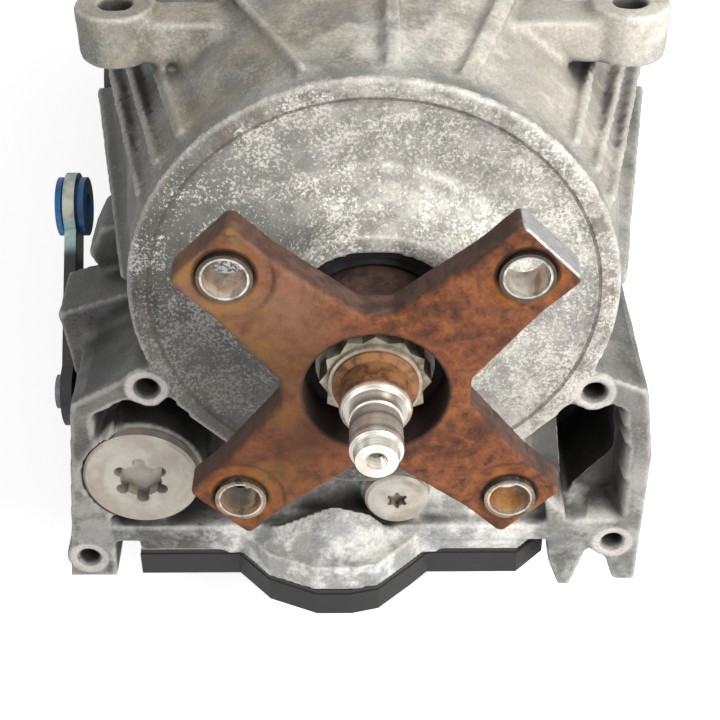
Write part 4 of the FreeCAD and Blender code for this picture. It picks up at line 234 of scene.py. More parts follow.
def cast_aluminium():
    """Weathered casting: mottled grey, tan dirt above, chalky oxide below, salt on the rear disc."""
    s = Shader("cast_aluminium")
    broad = s.noise(16, 5, 0.6)
    patch = s.noise(58, 8, 0.68, offset=(3, 1, 2))
    grain = s.noise(900, 3, 0.7)
    fine = s.noise(2600, 2, 0.6)
    base = s.mix(s.ramp(patch, 0.34, 0.66), rgb(106, 107, 103), rgb(158, 157, 150))
    base = s.mix(s.times(s.ramp(broad, 0.45, 0.7), 0.5), base, rgb(98, 100, 101))
    # The left side is painted darker: partly dirt, partly painted shade on the side away from the key
    # light
    left_dirt_and_shade = s.ramp(s.plus(s.axis("X"), s.times(s.axis("Z"), 0.6)), 0.01, -0.06)
    left_dirt_and_shade = s.times(left_dirt_and_shade, s.ramp(s.axis("Z"), 0.03, 0.0, 0.62, 1.0))
    base = s.mix(s.times(left_dirt_and_shade, 0.75), base, rgb(70, 70, 67))
    # Tan dirt above the shaft line, stronger on the left
    height = s.ramp(s.axis("Z"), 0.0, 0.055)
    left = s.ramp(s.axis("X"), 0.03, -0.05, 0.55, 1.0)
    forward = s.ramp(s.axis("Y"), -0.557, -0.548)
    dirt = s.times(s.times(height, left), s.ramp(s.noise(34, 7, 0.68, 0.1, offset=(7, 2, 5)), 0.36, 0.62))
    dirt = s.times(dirt, forward)
    tan = s.mix(s.ramp(patch, 0.34, 0.66), rgb(104, 96, 78), rgb(146, 138, 118))
    base = s.mix(s.times(dirt, 0.8), base, tan)
    # Chalky white where the top surfaces catch the weather, mostly on the right, where it also stands in
    # as painted light from the key light
    chalk_and_light = s.ramp(s.noise(46, 8, 0.7, 0.1, offset=(1, 9, 4)), 0.5, 0.64)
    right = s.ramp(s.axis("X"), -0.05, 0.04, 0.25, 1.0)
    chalk_and_light = s.times(s.times(chalk_and_light, s.times(height, right)), forward)
    base = s.mix(s.times(chalk_and_light, 0.8), base, rgb(214, 208, 198))
    # Painted light: the upper right, where the key light falls, is painted paler all over
    painted_key_light = s.times(s.times(height, s.ramp(s.axis("X"), 0.0, 0.045)), forward)
    base = s.mix(s.times(painted_key_light, 0.4), base, rgb(212, 205, 193))
    # The mount frame on both sides is painted darker than the nose between its feet, more on the left: a
    # duller casting, and painted shade away from the key light
    aside = s.ramp(s.maths("ABSOLUTE", s.axis("X")), 0.045, 0.064)
    frame_side_dull_and_shade = s.times(aside, s.ramp(s.axis("Z"), -0.015, -0.035))
    dull = s.mix(s.ramp(patch, 0.36, 0.64), rgb(50, 50, 48), rgb(106, 105, 100))
    base = s.mix(s.times(frame_side_dull_and_shade, s.ramp(s.axis("X"), 0.05, -0.06, 0.6, 1.0)), base, dull)
    # Chalky oxide low on the casting
    low = s.times(s.ramp(s.axis("Z"), -0.05, -0.085), s.ramp(aside, 0.0, 1.0, 1.0, 0.35))
    oxide = s.times(low, s.ramp(s.noise(80, 8, 0.74, 0.15, offset=(5, 5, 1)), 0.42, 0.58))
    base = s.mix(s.times(oxide, 0.85), base, rgb(220, 219, 213))
    # The nose between the feet is painted paler, as painted light on its face towards the key light, and
    # blue grey shows in patches
    middle = s.times(s.ramp(s.axis("Z"), -0.06, -0.09), s.ramp(aside, 0.6, 0.0))
    base = s.mix(s.times(middle, 0.35), base, rgb(216, 215, 210))
    blue = s.times(low, s.ramp(s.noise(60, 6, 0.66, 0.1, offset=(2, 8, 8)), 0.52, 0.64))
    base = s.mix(s.times(blue, 0.6), base, rgb(104, 110, 118))
    # The machined rear face: paler on the right and at the top, partly a dark stain on the lower left and
    # partly painted light from the key light on the right, with salt specks and stains
    behind = s.ramp(s.axis("Y"), *DISC_FACE)
    centre = s.radius_from(0, 0)
    inside = s.ramp(centre, RIM_RADIUS + 0.0008, RIM_RADIUS)
    disc = s.times(behind, inside)
    clean_and_lit = s.ramp(s.plus(s.axis("X"), s.times(s.axis("Z"), 0.55)), -0.05, 0.04)
    clean_and_lit = s.plus(clean_and_lit, s.maths("MULTIPLY_ADD", s.noise(45, 6, 0.65, offset=(4, 4, 4)), 1.0, -0.5))
    plate = s.mix(clean_and_lit, rgb(70, 70, 67), rgb(182, 179, 171))
    mottle = s.ramp(s.noise(150, 8, 0.78, offset=(2, 6, 1)), 0.42, 0.58, 0.0, 0.62)
    plate = s.mix(mottle, plate, rgb(104, 103, 98))
    stain = s.ramp(s.noise(28, 4, 0.55, 0.3, offset=(9, 1, 3)), 0.58, 0.72)
    plate = s.mix(s.times(stain, 0.3), plate, rgb(140, 120, 88))
    base = s.mix(disc, base, plate)
    region = s.ramp(s.noise(60, 6, 0.66, offset=(6, 3, 7)), 0.38, 0.66, 0.0, 0.12)
    speck = s.ramp(s.plus(s.noise(1050, 6, 0.78), region), 0.575, 0.625)
    amount = s.ramp(disc, 0.0, 1.0, 0.2, 0.95)
    upper = s.ramp(s.plus(s.axis("Z"), s.times(s.axis("X"), 0.4)), -0.05, 0.01, 0.3, 1.0)
    base = s.mix(s.times(s.times(speck, amount), upper), base, rgb(222, 219, 211))
    # Rim: a turned groove inside it, drawn as a dark line of painted shade, dirt on its outer chamfer and
    # dark specks
    ring = s.times(behind, s.times(s.ramp(centre, 0.0662, 0.0672), inside))
    ring_dirt = s.ramp(s.noise(140, 7, 0.74, 0.2, offset=(8, 2, 2)), 0.48, 0.6, 0.0, 0.65)
    base = s.mix(s.times(ring, ring_dirt), base, rgb(96, 86, 76))
    off_groove = s.maths("ABSOLUTE", s.maths("SUBTRACT", centre, GROOVE_RADIUS))
    groove = s.times(behind, s.ramp(off_groove, 0.0007, 0.0003))
    base = s.mix(s.times(groove, 0.62), base, rgb(74, 70, 64))
    # Painted shade inside the frame's pockets, except near their floors
    pocket_shade = s.times(s.ramp(s.axis("Y"), *POCKET_BACK), s.ramp(s.axis("Y"), *POCKET_FRONT))
    pocket_shade = s.times(pocket_shade, s.ramp(s.maths("ABSOLUTE", s.axis("X")), 0.048, 0.054))
    between_walls = s.times(s.ramp(s.axis("X"), -0.0915, -0.0905), s.ramp(s.axis("X"), 0.0842, 0.0835))
    between_levels = s.times(s.ramp(s.axis("Z"), -0.096, -0.074), s.ramp(s.axis("Z"), -0.03, -0.036))
    pocket_shade = s.times(s.times(pocket_shade, between_walls), between_levels)
    off_plug = s.ramp(s.radius_from(*FILL_PLUG), 0.0215, 0.0225)
    base = s.mix(s.times(s.times(pocket_shade, off_plug), 0.72), base, rgb(48, 48, 47))
    # Pale seats round the four mount holes
    rear = s.ramp(s.facing("Y"), -0.8, -0.95)
    for x, z in MOUNT_HOLES:
        off_hole = s.radius_from(x, z)
        seat = s.times(rear, s.times(s.ramp(off_hole, 0.0074, 0.0062), s.ramp(off_hole, 0.0036, 0.0044)))
        base = s.mix(s.times(seat, s.ramp(patch, 0.3, 0.6, 0.45, 0.85)), base, rgb(196, 190, 184))
    # Painted shade in corners and recesses, pale worn edges and small pits
    corner_shade = s.ramp(s.shade(0.014), 0.85, 0.3)
    base = s.mix(s.times(corner_shade, 0.85), base, rgb(40, 38, 34))
    recess_shade = s.ramp(s.shade(0.045), 0.6, 0.25)
    base = s.mix(s.times(recess_shade, s.ramp(disc, 0.0, 1.0, 0.75, 0.0)), base, rgb(30, 29, 27))
    edge = s.ramp(s.sharpness(), 0.515, 0.56)
    base = s.mix(s.times(edge, 0.5), base, rgb(204, 201, 194))
    pit = s.ramp(s.cells(330), 0.085, 0.055)
    pit = s.times(pit, s.ramp(s.noise(90, 2), 0.5, 0.6))
    base = s.mix(s.times(pit, 0.75), base, rgb(58, 52, 46))
    base = s.mix(s.ramp(grain, 0.3, 0.7, 0.0, 0.26), base, rgb(76, 74, 70))
    bump = s.plus(s.times(grain, 0.7), s.plus(s.times(fine, 0.25), s.times(patch, 0.8)))
    bump = s.maths("SUBTRACT", bump, s.plus(s.times(pit, 0.6), s.times(groove, 1.2)))
    rough = s.ramp(patch, 0.3, 0.7, 0.5, 0.72)
    return s.finish(base, rough, bump, 0.4, 0.0006, metal=0.15)


def housing_aluminium():
    """Cleaner casting of the converter housing."""
    s = Shader("housing_aluminium")
    patch = s.noise(30, 6, 0.6, 0.3)
    grain = s.noise(850, 3, 0.7)
    base = s.mix(s.ramp(patch, 0.35, 0.65), rgb(126, 127, 124), rgb(166, 166, 161))
    base = s.mix(s.times(s.ramp(s.noise(14, 4), 0.5, 0.68), 0.5), base, rgb(112, 104, 90))
    # Painted shade in corners
    corner_shade = s.ramp(s.shade(0.014), 0.75, 0.25)
    base = s.mix(s.times(corner_shade, 0.7), base, rgb(52, 49, 44))
    machined = s.ramp(s.axis("Y"), -0.0006, -0.0002)
    base = s.mix(machined, base, rgb(178, 178, 174))
    pit = s.ramp(s.cells(300), 0.08, 0.05)
    base = s.mix(s.times(pit, 0.6), base, rgb(64, 60, 54))
    base = s.mix(s.ramp(grain, 0.3, 0.7, 0.0, 0.2), base, rgb(84, 82, 78))
    bump = s.plus(grain, s.times(patch, 0.8))
    return s.finish(base, s.ramp(patch, 0.3, 0.7, 0.48, 0.68), bump, 0.4, 0.0005, metal=0.2)


def rusted_steel():
    """Forged flange under an even rust, darker on its sides, with one bare end face."""
    s = Shader("rusted_steel")
    patch = s.noise(55, 6, 0.65, 0.4)
    small = s.noise(260, 6, 0.7, 0.3, offset=(2, 2, 2))
    grain = s.noise(1300, 4, 0.72)
    rust = s.mix(s.ramp(patch, 0.32, 0.68), rgb(78, 43, 27), rgb(114, 67, 40))
    rust = s.mix(s.times(s.ramp(small, 0.48, 0.66), 0.55), rust, rgb(142, 88, 50))
    rust = s.mix(s.times(s.ramp(small, 0.5, 0.34), 0.8), rust, rgb(48, 30, 22))
    pocks = s.times(s.ramp(s.cells(480), 0.2, 0.1), s.ramp(patch, 0.45, 0.6))
    rust = s.mix(s.times(pocks, 0.6), rust, rgb(44, 28, 22))
    upper_left = s.times(s.ramp(s.axis("X"), 0.0, -0.03), s.ramp(s.axis("Z"), 0.0, 0.025))
    rust = s.mix(s.times(upper_left, s.ramp(patch, 0.38, 0.6, 0.1, 0.6)), rust, rgb(136, 106, 88))
    # Darker on the left of the hub
    dark_patch = s.ramp(s.radius_from(-0.022, 0.002), 0.03, 0.014, 0.0, 0.4)
    rust = s.mix(dark_patch, rust, rgb(78, 48, 34))
    # The sides above the front face keep a dark purple brown skin
    side = s.ramp(s.axis("Y"), FLANGE_Y + 0.0006, FLANGE_Y + 0.0022)
    skin = s.mix(s.ramp(small, 0.35, 0.65), rgb(54, 45, 43), rgb(90, 70, 62))
    rust = s.mix(s.times(side, 0.88), rust, skin)
    # Ochre stains, a dark seat and a faint worn ring round each bolt hole
    for sign_x, sign_z, amount in FLANGE_STAINS:
        level = sign_z * HOLE_PLACE
        off_hole = s.radius_from(sign_x * HOLE_PLACE, level)
        spots = s.ramp(s.noise(120, 4, 0.6, 0.5, offset=(sign_x, sign_z, 3)), 0.42, 0.58)
        near = s.ramp(off_hole, 0.0125, 0.0072)
        rust = s.mix(s.times(s.times(near, spots), amount), rust, rgb(186, 112, 28))
        seat = s.ramp(off_hole, 0.0092, 0.0082)
        rust = s.mix(s.times(seat, 0.85), rust, rgb(34, 24, 18))
        under = s.times(s.times(seat, s.ramp(s.axis("Z"), level, level - 0.006)), amount)
        rust = s.mix(under, rust, rgb(196, 122, 26))
        ring = s.times(s.ramp(off_hole, 0.0142, 0.0128), s.ramp(off_hole, 0.0118, 0.0126))
        rust = s.mix(s.times(ring, s.times(spots, 0.6)), rust, rgb(66, 40, 30))
    # Painted shade: darker towards the left, away from the key light
    rust = s.mix(s.ramp(s.axis("X"), 0.0, -0.03, 0.0, 0.25), rust, rgb(70, 44, 30))
    # Olive stain on the left arms
    stain = s.ramp(s.noise(34, 5, 0.6, 0.6, offset=(5, 0, 1)), 0.5, 0.64)
    stain = s.times(s.ramp(s.axis("X"), -0.01, -0.045), stain)
    rust = s.mix(s.times(stain, 0.55), rust, rgb(128, 96, 44))
    # The end of the upper right arm is bare, and the edges of the arms are a little worn
    along = s.times(s.plus(s.axis("X"), s.axis("Z")), math.sqrt(0.5))
    bare = s.ramp(along, 0.0636, 0.0641)
    brushed = s.noise(420, 3, 0.6, stretch=(1, 9, 1))
    steel = s.mix(s.ramp(brushed, 0.3, 0.7), rgb(150, 150, 150), rgb(214, 213, 210))
    specks = s.ramp(s.cells(420), 0.14, 0.08)
    steel = s.mix(s.times(specks, 0.7), steel, rgb(90, 84, 80))
    edge = s.ramp(s.sharpness(), 0.53, 0.6)
    rust = s.mix(s.times(edge, 0.45), rust, rgb(140, 112, 92))
    # Painted shade in corners
    corner_shade = s.ramp(s.shade(0.006), 0.7, 0.2)
    rust = s.mix(s.times(corner_shade, 0.6), rust, rgb(40, 26, 20))
    hub = s.ramp(s.radius_from(0, 0), 0.0212, 0.0202)
    rust = s.mix(s.times(hub, 0.75), rust, rgb(38, 33, 32))
    colour = s.mix(bare, rust, steel)
    rust_rough = s.mix(s.ramp(small, 0.3, 0.7), (0.55, 0.55, 0.55), (0.8, 0.8, 0.8))
    rough = s.mix(bare, rust_rough, (0.3, 0.3, 0.3))
    bump = s.plus(s.times(small, 1.2), s.times(grain, 0.5))
    return s.finish(colour, rough, bump, 0.5, 0.0006, metal=s.times(bare, 0.85), Specular_IOR_Level=0.22)


def turned_steel():
    """Output shaft: a bright turned end with worn rings, and a rusty collar."""
    s = Shader("turned_steel")
    lines = s.noise(30, 2, 0.5, stretch=(1, 90, 1))
    wear = s.noise(240, 5, 0.65, 0.3)
    bright = s.mix(s.ramp(lines, 0.35, 0.65), rgb(196, 192, 182), rgb(240, 236, 228))
    dull = s.ramp(s.noise(60, 4, 0.6, 0.4, stretch=(1, 0.4, 1)), 0.5, 0.62)
    bright = s.mix(s.times(dull, 0.3), bright, rgb(122, 108, 88))
    for centre, half, amount in SHAFT_RINGS:
        off_ring = s.maths("ABSOLUTE", s.maths("SUBTRACT", s.axis("Y"), centre))
        band = s.ramp(off_ring, half * 1.4, half * 0.7)
        bright = s.mix(s.times(band, amount), bright, rgb(86, 72, 56))
    rust = s.mix(s.ramp(wear, 0.38, 0.62), rgb(74, 44, 24), rgb(128, 88, 50))
    front = s.ramp(s.axis("Y"), -0.6105, -0.6092)
    colour = s.mix(front, bright, rust)
    metal = s.ramp(front, 0.0, 1.0, 0.72, 0.05)
    rough = s.ramp(front, 0.0, 1.0, 0.26, 0.75)
    bump = s.plus(s.times(lines, 0.5), s.times(wear, 0.6))
    return s.finish(colour, rough, bump, 0.25, 0.0004, metal=metal)


def nut_steel():
    """Dull steel of the nut with patches of rust, and painted shade in its corners."""
    s = Shader("nut_steel")
    patch = s.noise(150, 5, 0.65, 0.3)
    grain = s.noise(1100, 3, 0.7)
    base = s.mix(s.ramp(patch, 0.35, 0.62), rgb(138, 130, 114), rgb(176, 170, 154))
    rust = s.ramp(s.noise(90, 5, 0.6, 0.4, offset=(3, 3, 3)), 0.5, 0.64)
    base = s.mix(s.times(rust, 0.7), base, rgb(112, 72, 44))
    # Painted shade in corners
    corner_shade = s.ramp(s.shade(0.004), 0.75, 0.25)
    base = s.mix(s.times(corner_shade, 0.8), base, rgb(38, 30, 24))
    edge = s.ramp(s.sharpness(), 0.53, 0.6)
    base = s.mix(s.times(edge, 0.4), base, rgb(200, 194, 180))
    bump = s.plus(patch, s.times(grain, 0.4))
    return s.finish(base, s.ramp(patch, 0.3, 0.7, 0.38, 0.6), bump, 0.3, 0.0004, metal=0.45)


def sleeve_steel():
    """Bright pressed sleeves with dark grime outside and ochre stains in the bores."""
    s = Shader("sleeve_steel")
    patch = s.noise(160, 5, 0.65, 0.4)
    base = s.mix(s.ramp(patch, 0.36, 0.62), rgb(168, 162, 152), rgb(216, 211, 202))
    for sign_x, sign_z, amount in SLEEVE_STAINS:
        level = sign_z * HOLE_PLACE
        off_hole = s.radius_from(sign_x * HOLE_PLACE, level)
        near = s.ramp(off_hole, 0.0082, 0.0078)
        spots = s.ramp(s.noise(70, 3, 0.55, 0.6, offset=(sign_x * 2, 4, sign_z * 2)), 0.46, 0.56)
        base = s.mix(s.times(s.times(near, spots), amount * 0.25), base, rgb(206, 138, 24))
        bore = s.times(s.ramp(s.axis("Y"), -0.6025, -0.601), s.ramp(s.axis("Z"), level, level - 0.004))
        patchy = s.times(bore, s.ramp(spots, 0.0, 1.0, 0.12, 1.0))
        base = s.mix(s.times(s.times(near, patchy), amount), base, rgb(206, 132, 20))
        outer = s.times(s.ramp(off_hole, 0.0063, 0.0066), near)
        grime = s.ramp(spots, 0.0, 1.0, 0.9, 1.0 - 0.5 * amount)
        base = s.mix(s.times(outer, grime), base, rgb(44, 32, 24))
    # Painted shade: the sleeves darken further in, behind the flange's front face
    inside = s.ramp(s.axis("Y"), -0.6015, -0.598)
    base = s.mix(s.times(inside, 0.25), base, rgb(90, 84, 78))
    streak = s.ramp(s.noise(220, 4, 0.6, stretch=(1, 0.25, 1)), 0.52, 0.64)
    base = s.mix(s.times(streak, 0.5), base, rgb(74, 62, 54))
    return s.finish(base, s.ramp(patch, 0.3, 0.7, 0.2, 0.42), patch, 0.2, 0.0003, metal=0.75)


def zinc_plug():
    """Dull beige zinc with turning marks round each plug's own centre."""
    s = Shader("zinc_plug")
    patch = s.noise(90, 6, 0.66, 0.3)
    grain = s.noise(1000, 3, 0.7)
    base = s.mix(s.ramp(patch, 0.34, 0.64), rgb(172, 164, 152), rgb(200, 194, 183))
    stain = s.ramp(s.noise(40, 4, 0.6, 0.4, offset=(1, 1, 6)), 0.52, 0.66)
    base = s.mix(s.times(stain, 0.55), base, rgb(150, 134, 112))
    rings = None
    for x, z, reach in PLUG_FACES:
        radius = s.radius_from(x, z)
        wave = s.maths("SINE", s.times(radius, TURNING_MARKS))
        wave = s.times(wave, s.ramp(radius, reach, reach - 0.0005))
        rings = wave if rings is None else s.plus(rings, wave)
        worn = s.times(s.ramp(radius, 0.0, reach * 0.4), s.ramp(radius, reach * 0.62, reach * 0.5))
        base = s.mix(s.times(worn, s.ramp(patch, 0.4, 0.6, 0.1, 0.45)), base, rgb(216, 212, 204))
    dark = s.ramp(s.cells(260), 0.09, 0.05)
    base = s.mix(s.times(dark, 0.55), base, rgb(110, 96, 80))
    # The large plug on the left is painted darker, as painted shade on the side away from the key light
    base = s.mix(s.ramp(s.axis("X"), -0.03, -0.05, 0.0, 0.3), base, rgb(112, 106, 96))
    # Painted shade in corners
    corner_shade = s.ramp(s.shade(0.005), 0.8, 0.3)
    base = s.mix(s.times(corner_shade, 0.6), base, rgb(92, 84, 70))
    bump = s.plus(s.times(patch, 1.0), s.plus(s.times(grain, 0.4), s.times(rings, 0.12)))
    return s.finish(base, s.ramp(patch, 0.3, 0.7, 0.42, 0.6), bump, 0.3, 0.0004, metal=0.35)


def dark_plastic(name, dark, pale, dust, rough):
    """Scuffed plastic with dust on what faces up."""
    s = Shader(name)
    patch = s.noise(35, 5, 0.6, 0.3)
    grain = s.noise(1500, 2, 0.6)
    base = s.mix(s.ramp(patch, 0.35, 0.65), dark, pale)
    scuff = s.ramp(s.noise(140, 7, 0.75, 1.2, stretch=(1, 0.4, 2)), 0.6, 0.68)
    base = s.mix(s.times(scuff, 0.35), base, dust)
    top = s.ramp(s.facing("Z"), 0.2, 0.9)
    base = s.mix(s.times(top, 0.4), base, dust)
    return s.finish(base, s.ramp(patch, 0.3, 0.7, rough, rough + 0.15), grain, 0.3, 0.0002)


def black_rubber():
    """Rubber of the seals, slightly dusty."""
    s = Shader("black_rubber")
    patch = s.noise(60, 4)
    base = s.mix(s.ramp(patch, 0.35, 0.65), rgb(17, 17, 18), rgb(34, 33, 33))
    dust = s.ramp(s.noise(400, 5, 0.7), 0.62, 0.7)
    base = s.mix(s.times(dust, 0.3), base, rgb(110, 106, 100))
    return s.finish(base, s.ramp(patch, 0.3, 0.7, 0.35, 0.5), s.noise(900, 3), 0.15, 0.0003)


def painted_lever(eye):
    """Black lever arm whose eye is bare zinc with a teal tint."""
    s = Shader("black_paint")
    patch = s.noise(90, 5, 0.6, 0.3)
    base = s.mix(s.ramp(patch, 0.35, 0.65), rgb(24, 24, 26), rgb(46, 46, 48))
    chip = s.ramp(s.noise(320, 5, 0.7, 0.5), 0.62, 0.67)
    base = s.mix(s.times(chip, 0.6), base, rgb(120, 112, 100))
    along = s.maths("SUBTRACT", s.axis("Y"), eye[0])
    up = s.maths("SUBTRACT", s.axis("Z"), eye[1])
    distance = s.maths("SQRT", s.plus(s.times(along, along), s.times(up, up)))
    near = s.ramp(distance, 0.021, 0.0165)
    zinc = s.mix(s.ramp(patch, 0.4, 0.6), rgb(150, 160, 152), rgb(196, 196, 184))
    zinc = s.mix(s.times(s.ramp(s.noise(130, 3), 0.48, 0.58), 0.5), zinc, rgb(70, 150, 160))
    base = s.mix(near, base, zinc)
    return s.finish(base, s.ramp(near, 0.0, 1.0, 0.42, 0.36), patch, 0.2, 0.0004, metal=s.times(near, 0.6))


def blue_bush():
    """Blue plastic of the lever's bush, scuffed."""
    s = Shader("blue_bush")
    patch = s.noise(120, 4, 0.6, 0.3)
    base = s.mix(s.ramp(patch, 0.35, 0.65), rgb(22, 84, 140), rgb(48, 126, 182))
    base = s.mix(s.times(s.ramp(s.noise(300, 5, 0.7), 0.58, 0.68), 0.4), base, rgb(150, 150, 140))
    return s.finish(base, s.ramp(patch, 0.3, 0.7, 0.35, 0.5), patch, 0.15, 0.0003)


def plain_metal(name, dark, pale, rough, metal):
    """Steel and machined aluminium of the pieces that are mostly out of sight."""
    s = Shader(name)
    patch = s.noise(120, 5, 0.62, 0.3)
    lines = s.noise(60, 2, 0.5, stretch=(1, 40, 1))
    base = s.mix(s.ramp(patch, 0.35, 0.65), dark, pale)
    base = s.mix(s.ramp(lines, 0.35, 0.65, 0.0, 0.3), base, dark)
    bump = s.plus(s.times(lines, 0.6), s.times(patch, 0.6))
    return s.finish(base, s.ramp(patch, 0.3, 0.7, rough, rough + 0.18), bump, 0.2, 0.0003, metal=metal)


def friction_lining():
    """Fibrous brown lining of the clutch and brake plates."""
    s = Shader("friction_lining")
    patch = s.noise(70, 5, 0.6)
    fibre = s.noise(900, 5, 0.75, 0.8)
    base = s.mix(s.ramp(fibre, 0.35, 0.65), rgb(98, 74, 48), rgb(140, 110, 76))
    base = s.mix(s.times(s.ramp(patch, 0.5, 0.65), 0.4), base, rgb(70, 52, 36))
    return s.finish(base, 0.85, fibre, 0.4, 0.0003)


LEVER_EYE = (
    SELECTOR[0] + LEVER_LENGTH * math.cos(math.radians(LEVER_ANGLE)),
    SELECTOR[1] + LEVER_LENGTH * math.sin(math.radians(LEVER_ANGLE)),
)
LOOKS = {
    "cast_aluminium": cast_aluminium(),
    "housing_aluminium": housing_aluminium(),
    "rusted_steel": rusted_steel(),
    "bright_steel": plain_metal("bright_steel", rgb(150, 147, 140), rgb(205, 202, 195), 0.25, 0.9),
    "gear_steel": plain_metal("gear_steel", rgb(120, 121, 122), rgb(168, 168, 168), 0.28, 0.85),
    "zinc_plug": zinc_plug(),
    "sheet_steel": plain_metal("sheet_steel", rgb(96, 97, 100), rgb(140, 140, 142), 0.35, 0.7),
    "bolt_steel": plain_metal("bolt_steel", rgb(118, 114, 104), rgb(168, 163, 150), 0.4, 0.6),
    "friction_lining": friction_lining(),
    "pan_plastic": dark_plastic("pan_plastic", rgb(20, 20, 20), rgb(31, 31, 30), rgb(76, 74, 70), 0.5),
    "black_rubber": black_rubber(),
    "machined_aluminium": plain_metal(
        "machined_aluminium", rgb(150, 151, 150), rgb(190, 190, 187), 0.32, 0.7
    ),
    "black_paint": painted_lever(LEVER_EYE),
    "blue_bush": blue_bush(),
    "connector_plastic": dark_plastic(
        "connector_plastic", rgb(28, 28, 29), rgb(48, 48, 49), rgb(110, 107, 100), 0.45
    ),
}
SPECIAL = {
    "output_shaft": turned_steel(),
    "flange_nut": nut_steel(),
    "flange_sleeves": sleeve_steel(),
}
slot_of = {row["node"]: row["material_slot"] for row in frame["record"]["subparts"]}


def dress(obj, material):
    obj.data.materials.clear()
    obj.data.materials.append(material)


for name, obj in nodes.items():
    dress(obj, SPECIAL.get(name) or LOOKS[slot_of[name]])


# Cast pieces: a copy of the solid with the casting's soft inner and outer corners

HASH_PRIMES = (73856093, 19349663, 83492791)
HASH_SPREAD = 1274126177
SEED_STEP = 17.31
# Shares of a smoothing step: inwards, outwards again, and the last one
STEP_IN = 0.55
STEP_OUT = -0.56
STEP_LAST = 0.5


def mesh_points(mesh):
    points = np.empty(len(mesh.vertices) * 3)
    mesh.vertices.foreach_get("co", points)
    return points.reshape(-1, 3)


def noise_values(points, size, seed):
    """Smooth value noise in -1..1 with features of a size in metres."""
    scaled = points / size + seed * SEED_STEP
    cell = np.floor(scaled).astype(np.int64)
    share = scaled - cell
    share = share * share * (3 - 2 * share)
    total = np.zeros(len(points))
    for dx in (0, 1):
        for dy in (0, 1):
            for dz in (0, 1):
                corner_shade = cell + (dx, dy, dz)
                mixed = corner_shade[:, 0] * HASH_PRIMES[0]
                mixed = mixed ^ (corner_shade[:, 1] * HASH_PRIMES[1]) ^ (corner_shade[:, 2] * HASH_PRIMES[2])
                mixed = (mixed ^ (mixed >> 13)) * HASH_SPREAD
                value = ((mixed ^ (mixed >> 16)) & 0xFFFF) / 32767.5 - 1
                weight = np.where(dx, share[:, 0], 1 - share[:, 0])
                weight = weight * np.where(dy, share[:, 1], 1 - share[:, 1])
                weight = weight * np.where(dz, share[:, 2], 1 - share[:, 2])
                total += value * weight
    return total


def smoothed(points, edges, weights, rounds):
    """Laplacian smoothing, with a weight of 0 to 1 for each point."""
    count = np.bincount(edges.ravel(), minlength=len(points)).astype(float)
    count[count == 0] = 1
    for step in range(rounds):
        share = STEP_IN if step % 2 == 0 else STEP_OUT
        if step == rounds - 1:
            share = STEP_LAST
        mean = np.empty_like(points)
        for axis in range(3):
            total = np.bincount(edges[:, 0], points[edges[:, 1], axis], len(points))
            total += np.bincount(edges[:, 1], points[edges[:, 0], axis], len(points))
            mean[:, axis] = total / count
        points = points + (mean - points) * (share * weights)[:, None]
    return points


def remeshed(node, name, voxel):
    """One closed even mesh round a node's solid."""
    copy = nodes[node].copy()
    copy.data = nodes[node].data.copy()
    bpy.context.scene.collection.objects.link(copy)
    modifier = copy.modifiers.new("weave", "REMESH")
    modifier.mode = "VOXEL"
    modifier.voxel_size = voxel
    modifier.use_smooth_shade = True
    graph = bpy.context.evaluated_depsgraph_get()
    mesh = bpy.data.meshes.new_from_object(copy.evaluated_get(graph))
    mesh.name = name
    bpy.data.objects.remove(copy)
    piece = bpy.data.objects.new(name, mesh)
    bpy.context.scene.collection.objects.link(piece)
    return piece


def soften(piece, weight_of, rounds, roughness):
    """Round the corners, then add the casting's unevenness, as (size, height, seed) rows."""
    mesh = piece.data
    points = mesh_points(mesh)
    edges = np.empty(len(mesh.edges) * 2, dtype=np.int64)
    mesh.edges.foreach_get("vertices", edges)
    edges = edges.reshape(-1, 2)
    weights = weight_of(points)
    points = smoothed(points, edges, weights, rounds)
    mesh.vertices.foreach_set("co", points.ravel())
    mesh.update()
    normals = np.empty(len(points) * 3)
    mesh.vertices.foreach_get("normal", normals)
    normals = normals.reshape(-1, 3)
    height = np.zeros(len(points))
    for size, amount, seed in roughness:
        height += noise_values(points, size, seed) * amount
    points = points + normals * (height * weights)[:, None]
    mesh.vertices.foreach_set("co", points.ravel())
    mesh.update()
    mesh.polygons.foreach_set("use_smooth", [True] * len(mesh.polygons))


DISC_REACH = 0.075
DISC_BACK_Y = -0.5555
FRAME_FACE_Y = -0.5592
CASE_FRONT_Y = -0.1515
FEET_Z = -0.1052


def case_weights(points):
    """The machined faces and the frame's feet keep more of their shape."""
    weights = np.ones(len(points))
    radius = np.hypot(points[:, 0], points[:, 2])
    weights[(radius < DISC_REACH) & (points[:, 1] < DISC_BACK_Y)] = 0.12
    weights[points[:, 1] < FRAME_FACE_Y] = 0.15
    weights[points[:, 1] > CASE_FRONT_Y] = 0.1
    weights[points[:, 2] < FEET_Z] = 0.25
    return weights


def inside_outline(points, outline):
    """Which points lie inside an outline of x, z corners, seen along the shaft."""
    x, z = points[:, 0], points[:, 2]
    inside = np.zeros(len(points), dtype=bool)
    for (x0, z0), (x1, z1) in zip(outline, outline[1:] + outline[:1]):
        crosses = (z0 > z) != (z1 > z)
        inside ^= crosses & (x < x0 + (z - z0) * (x1 - x0) / (z1 - z0))
    return inside


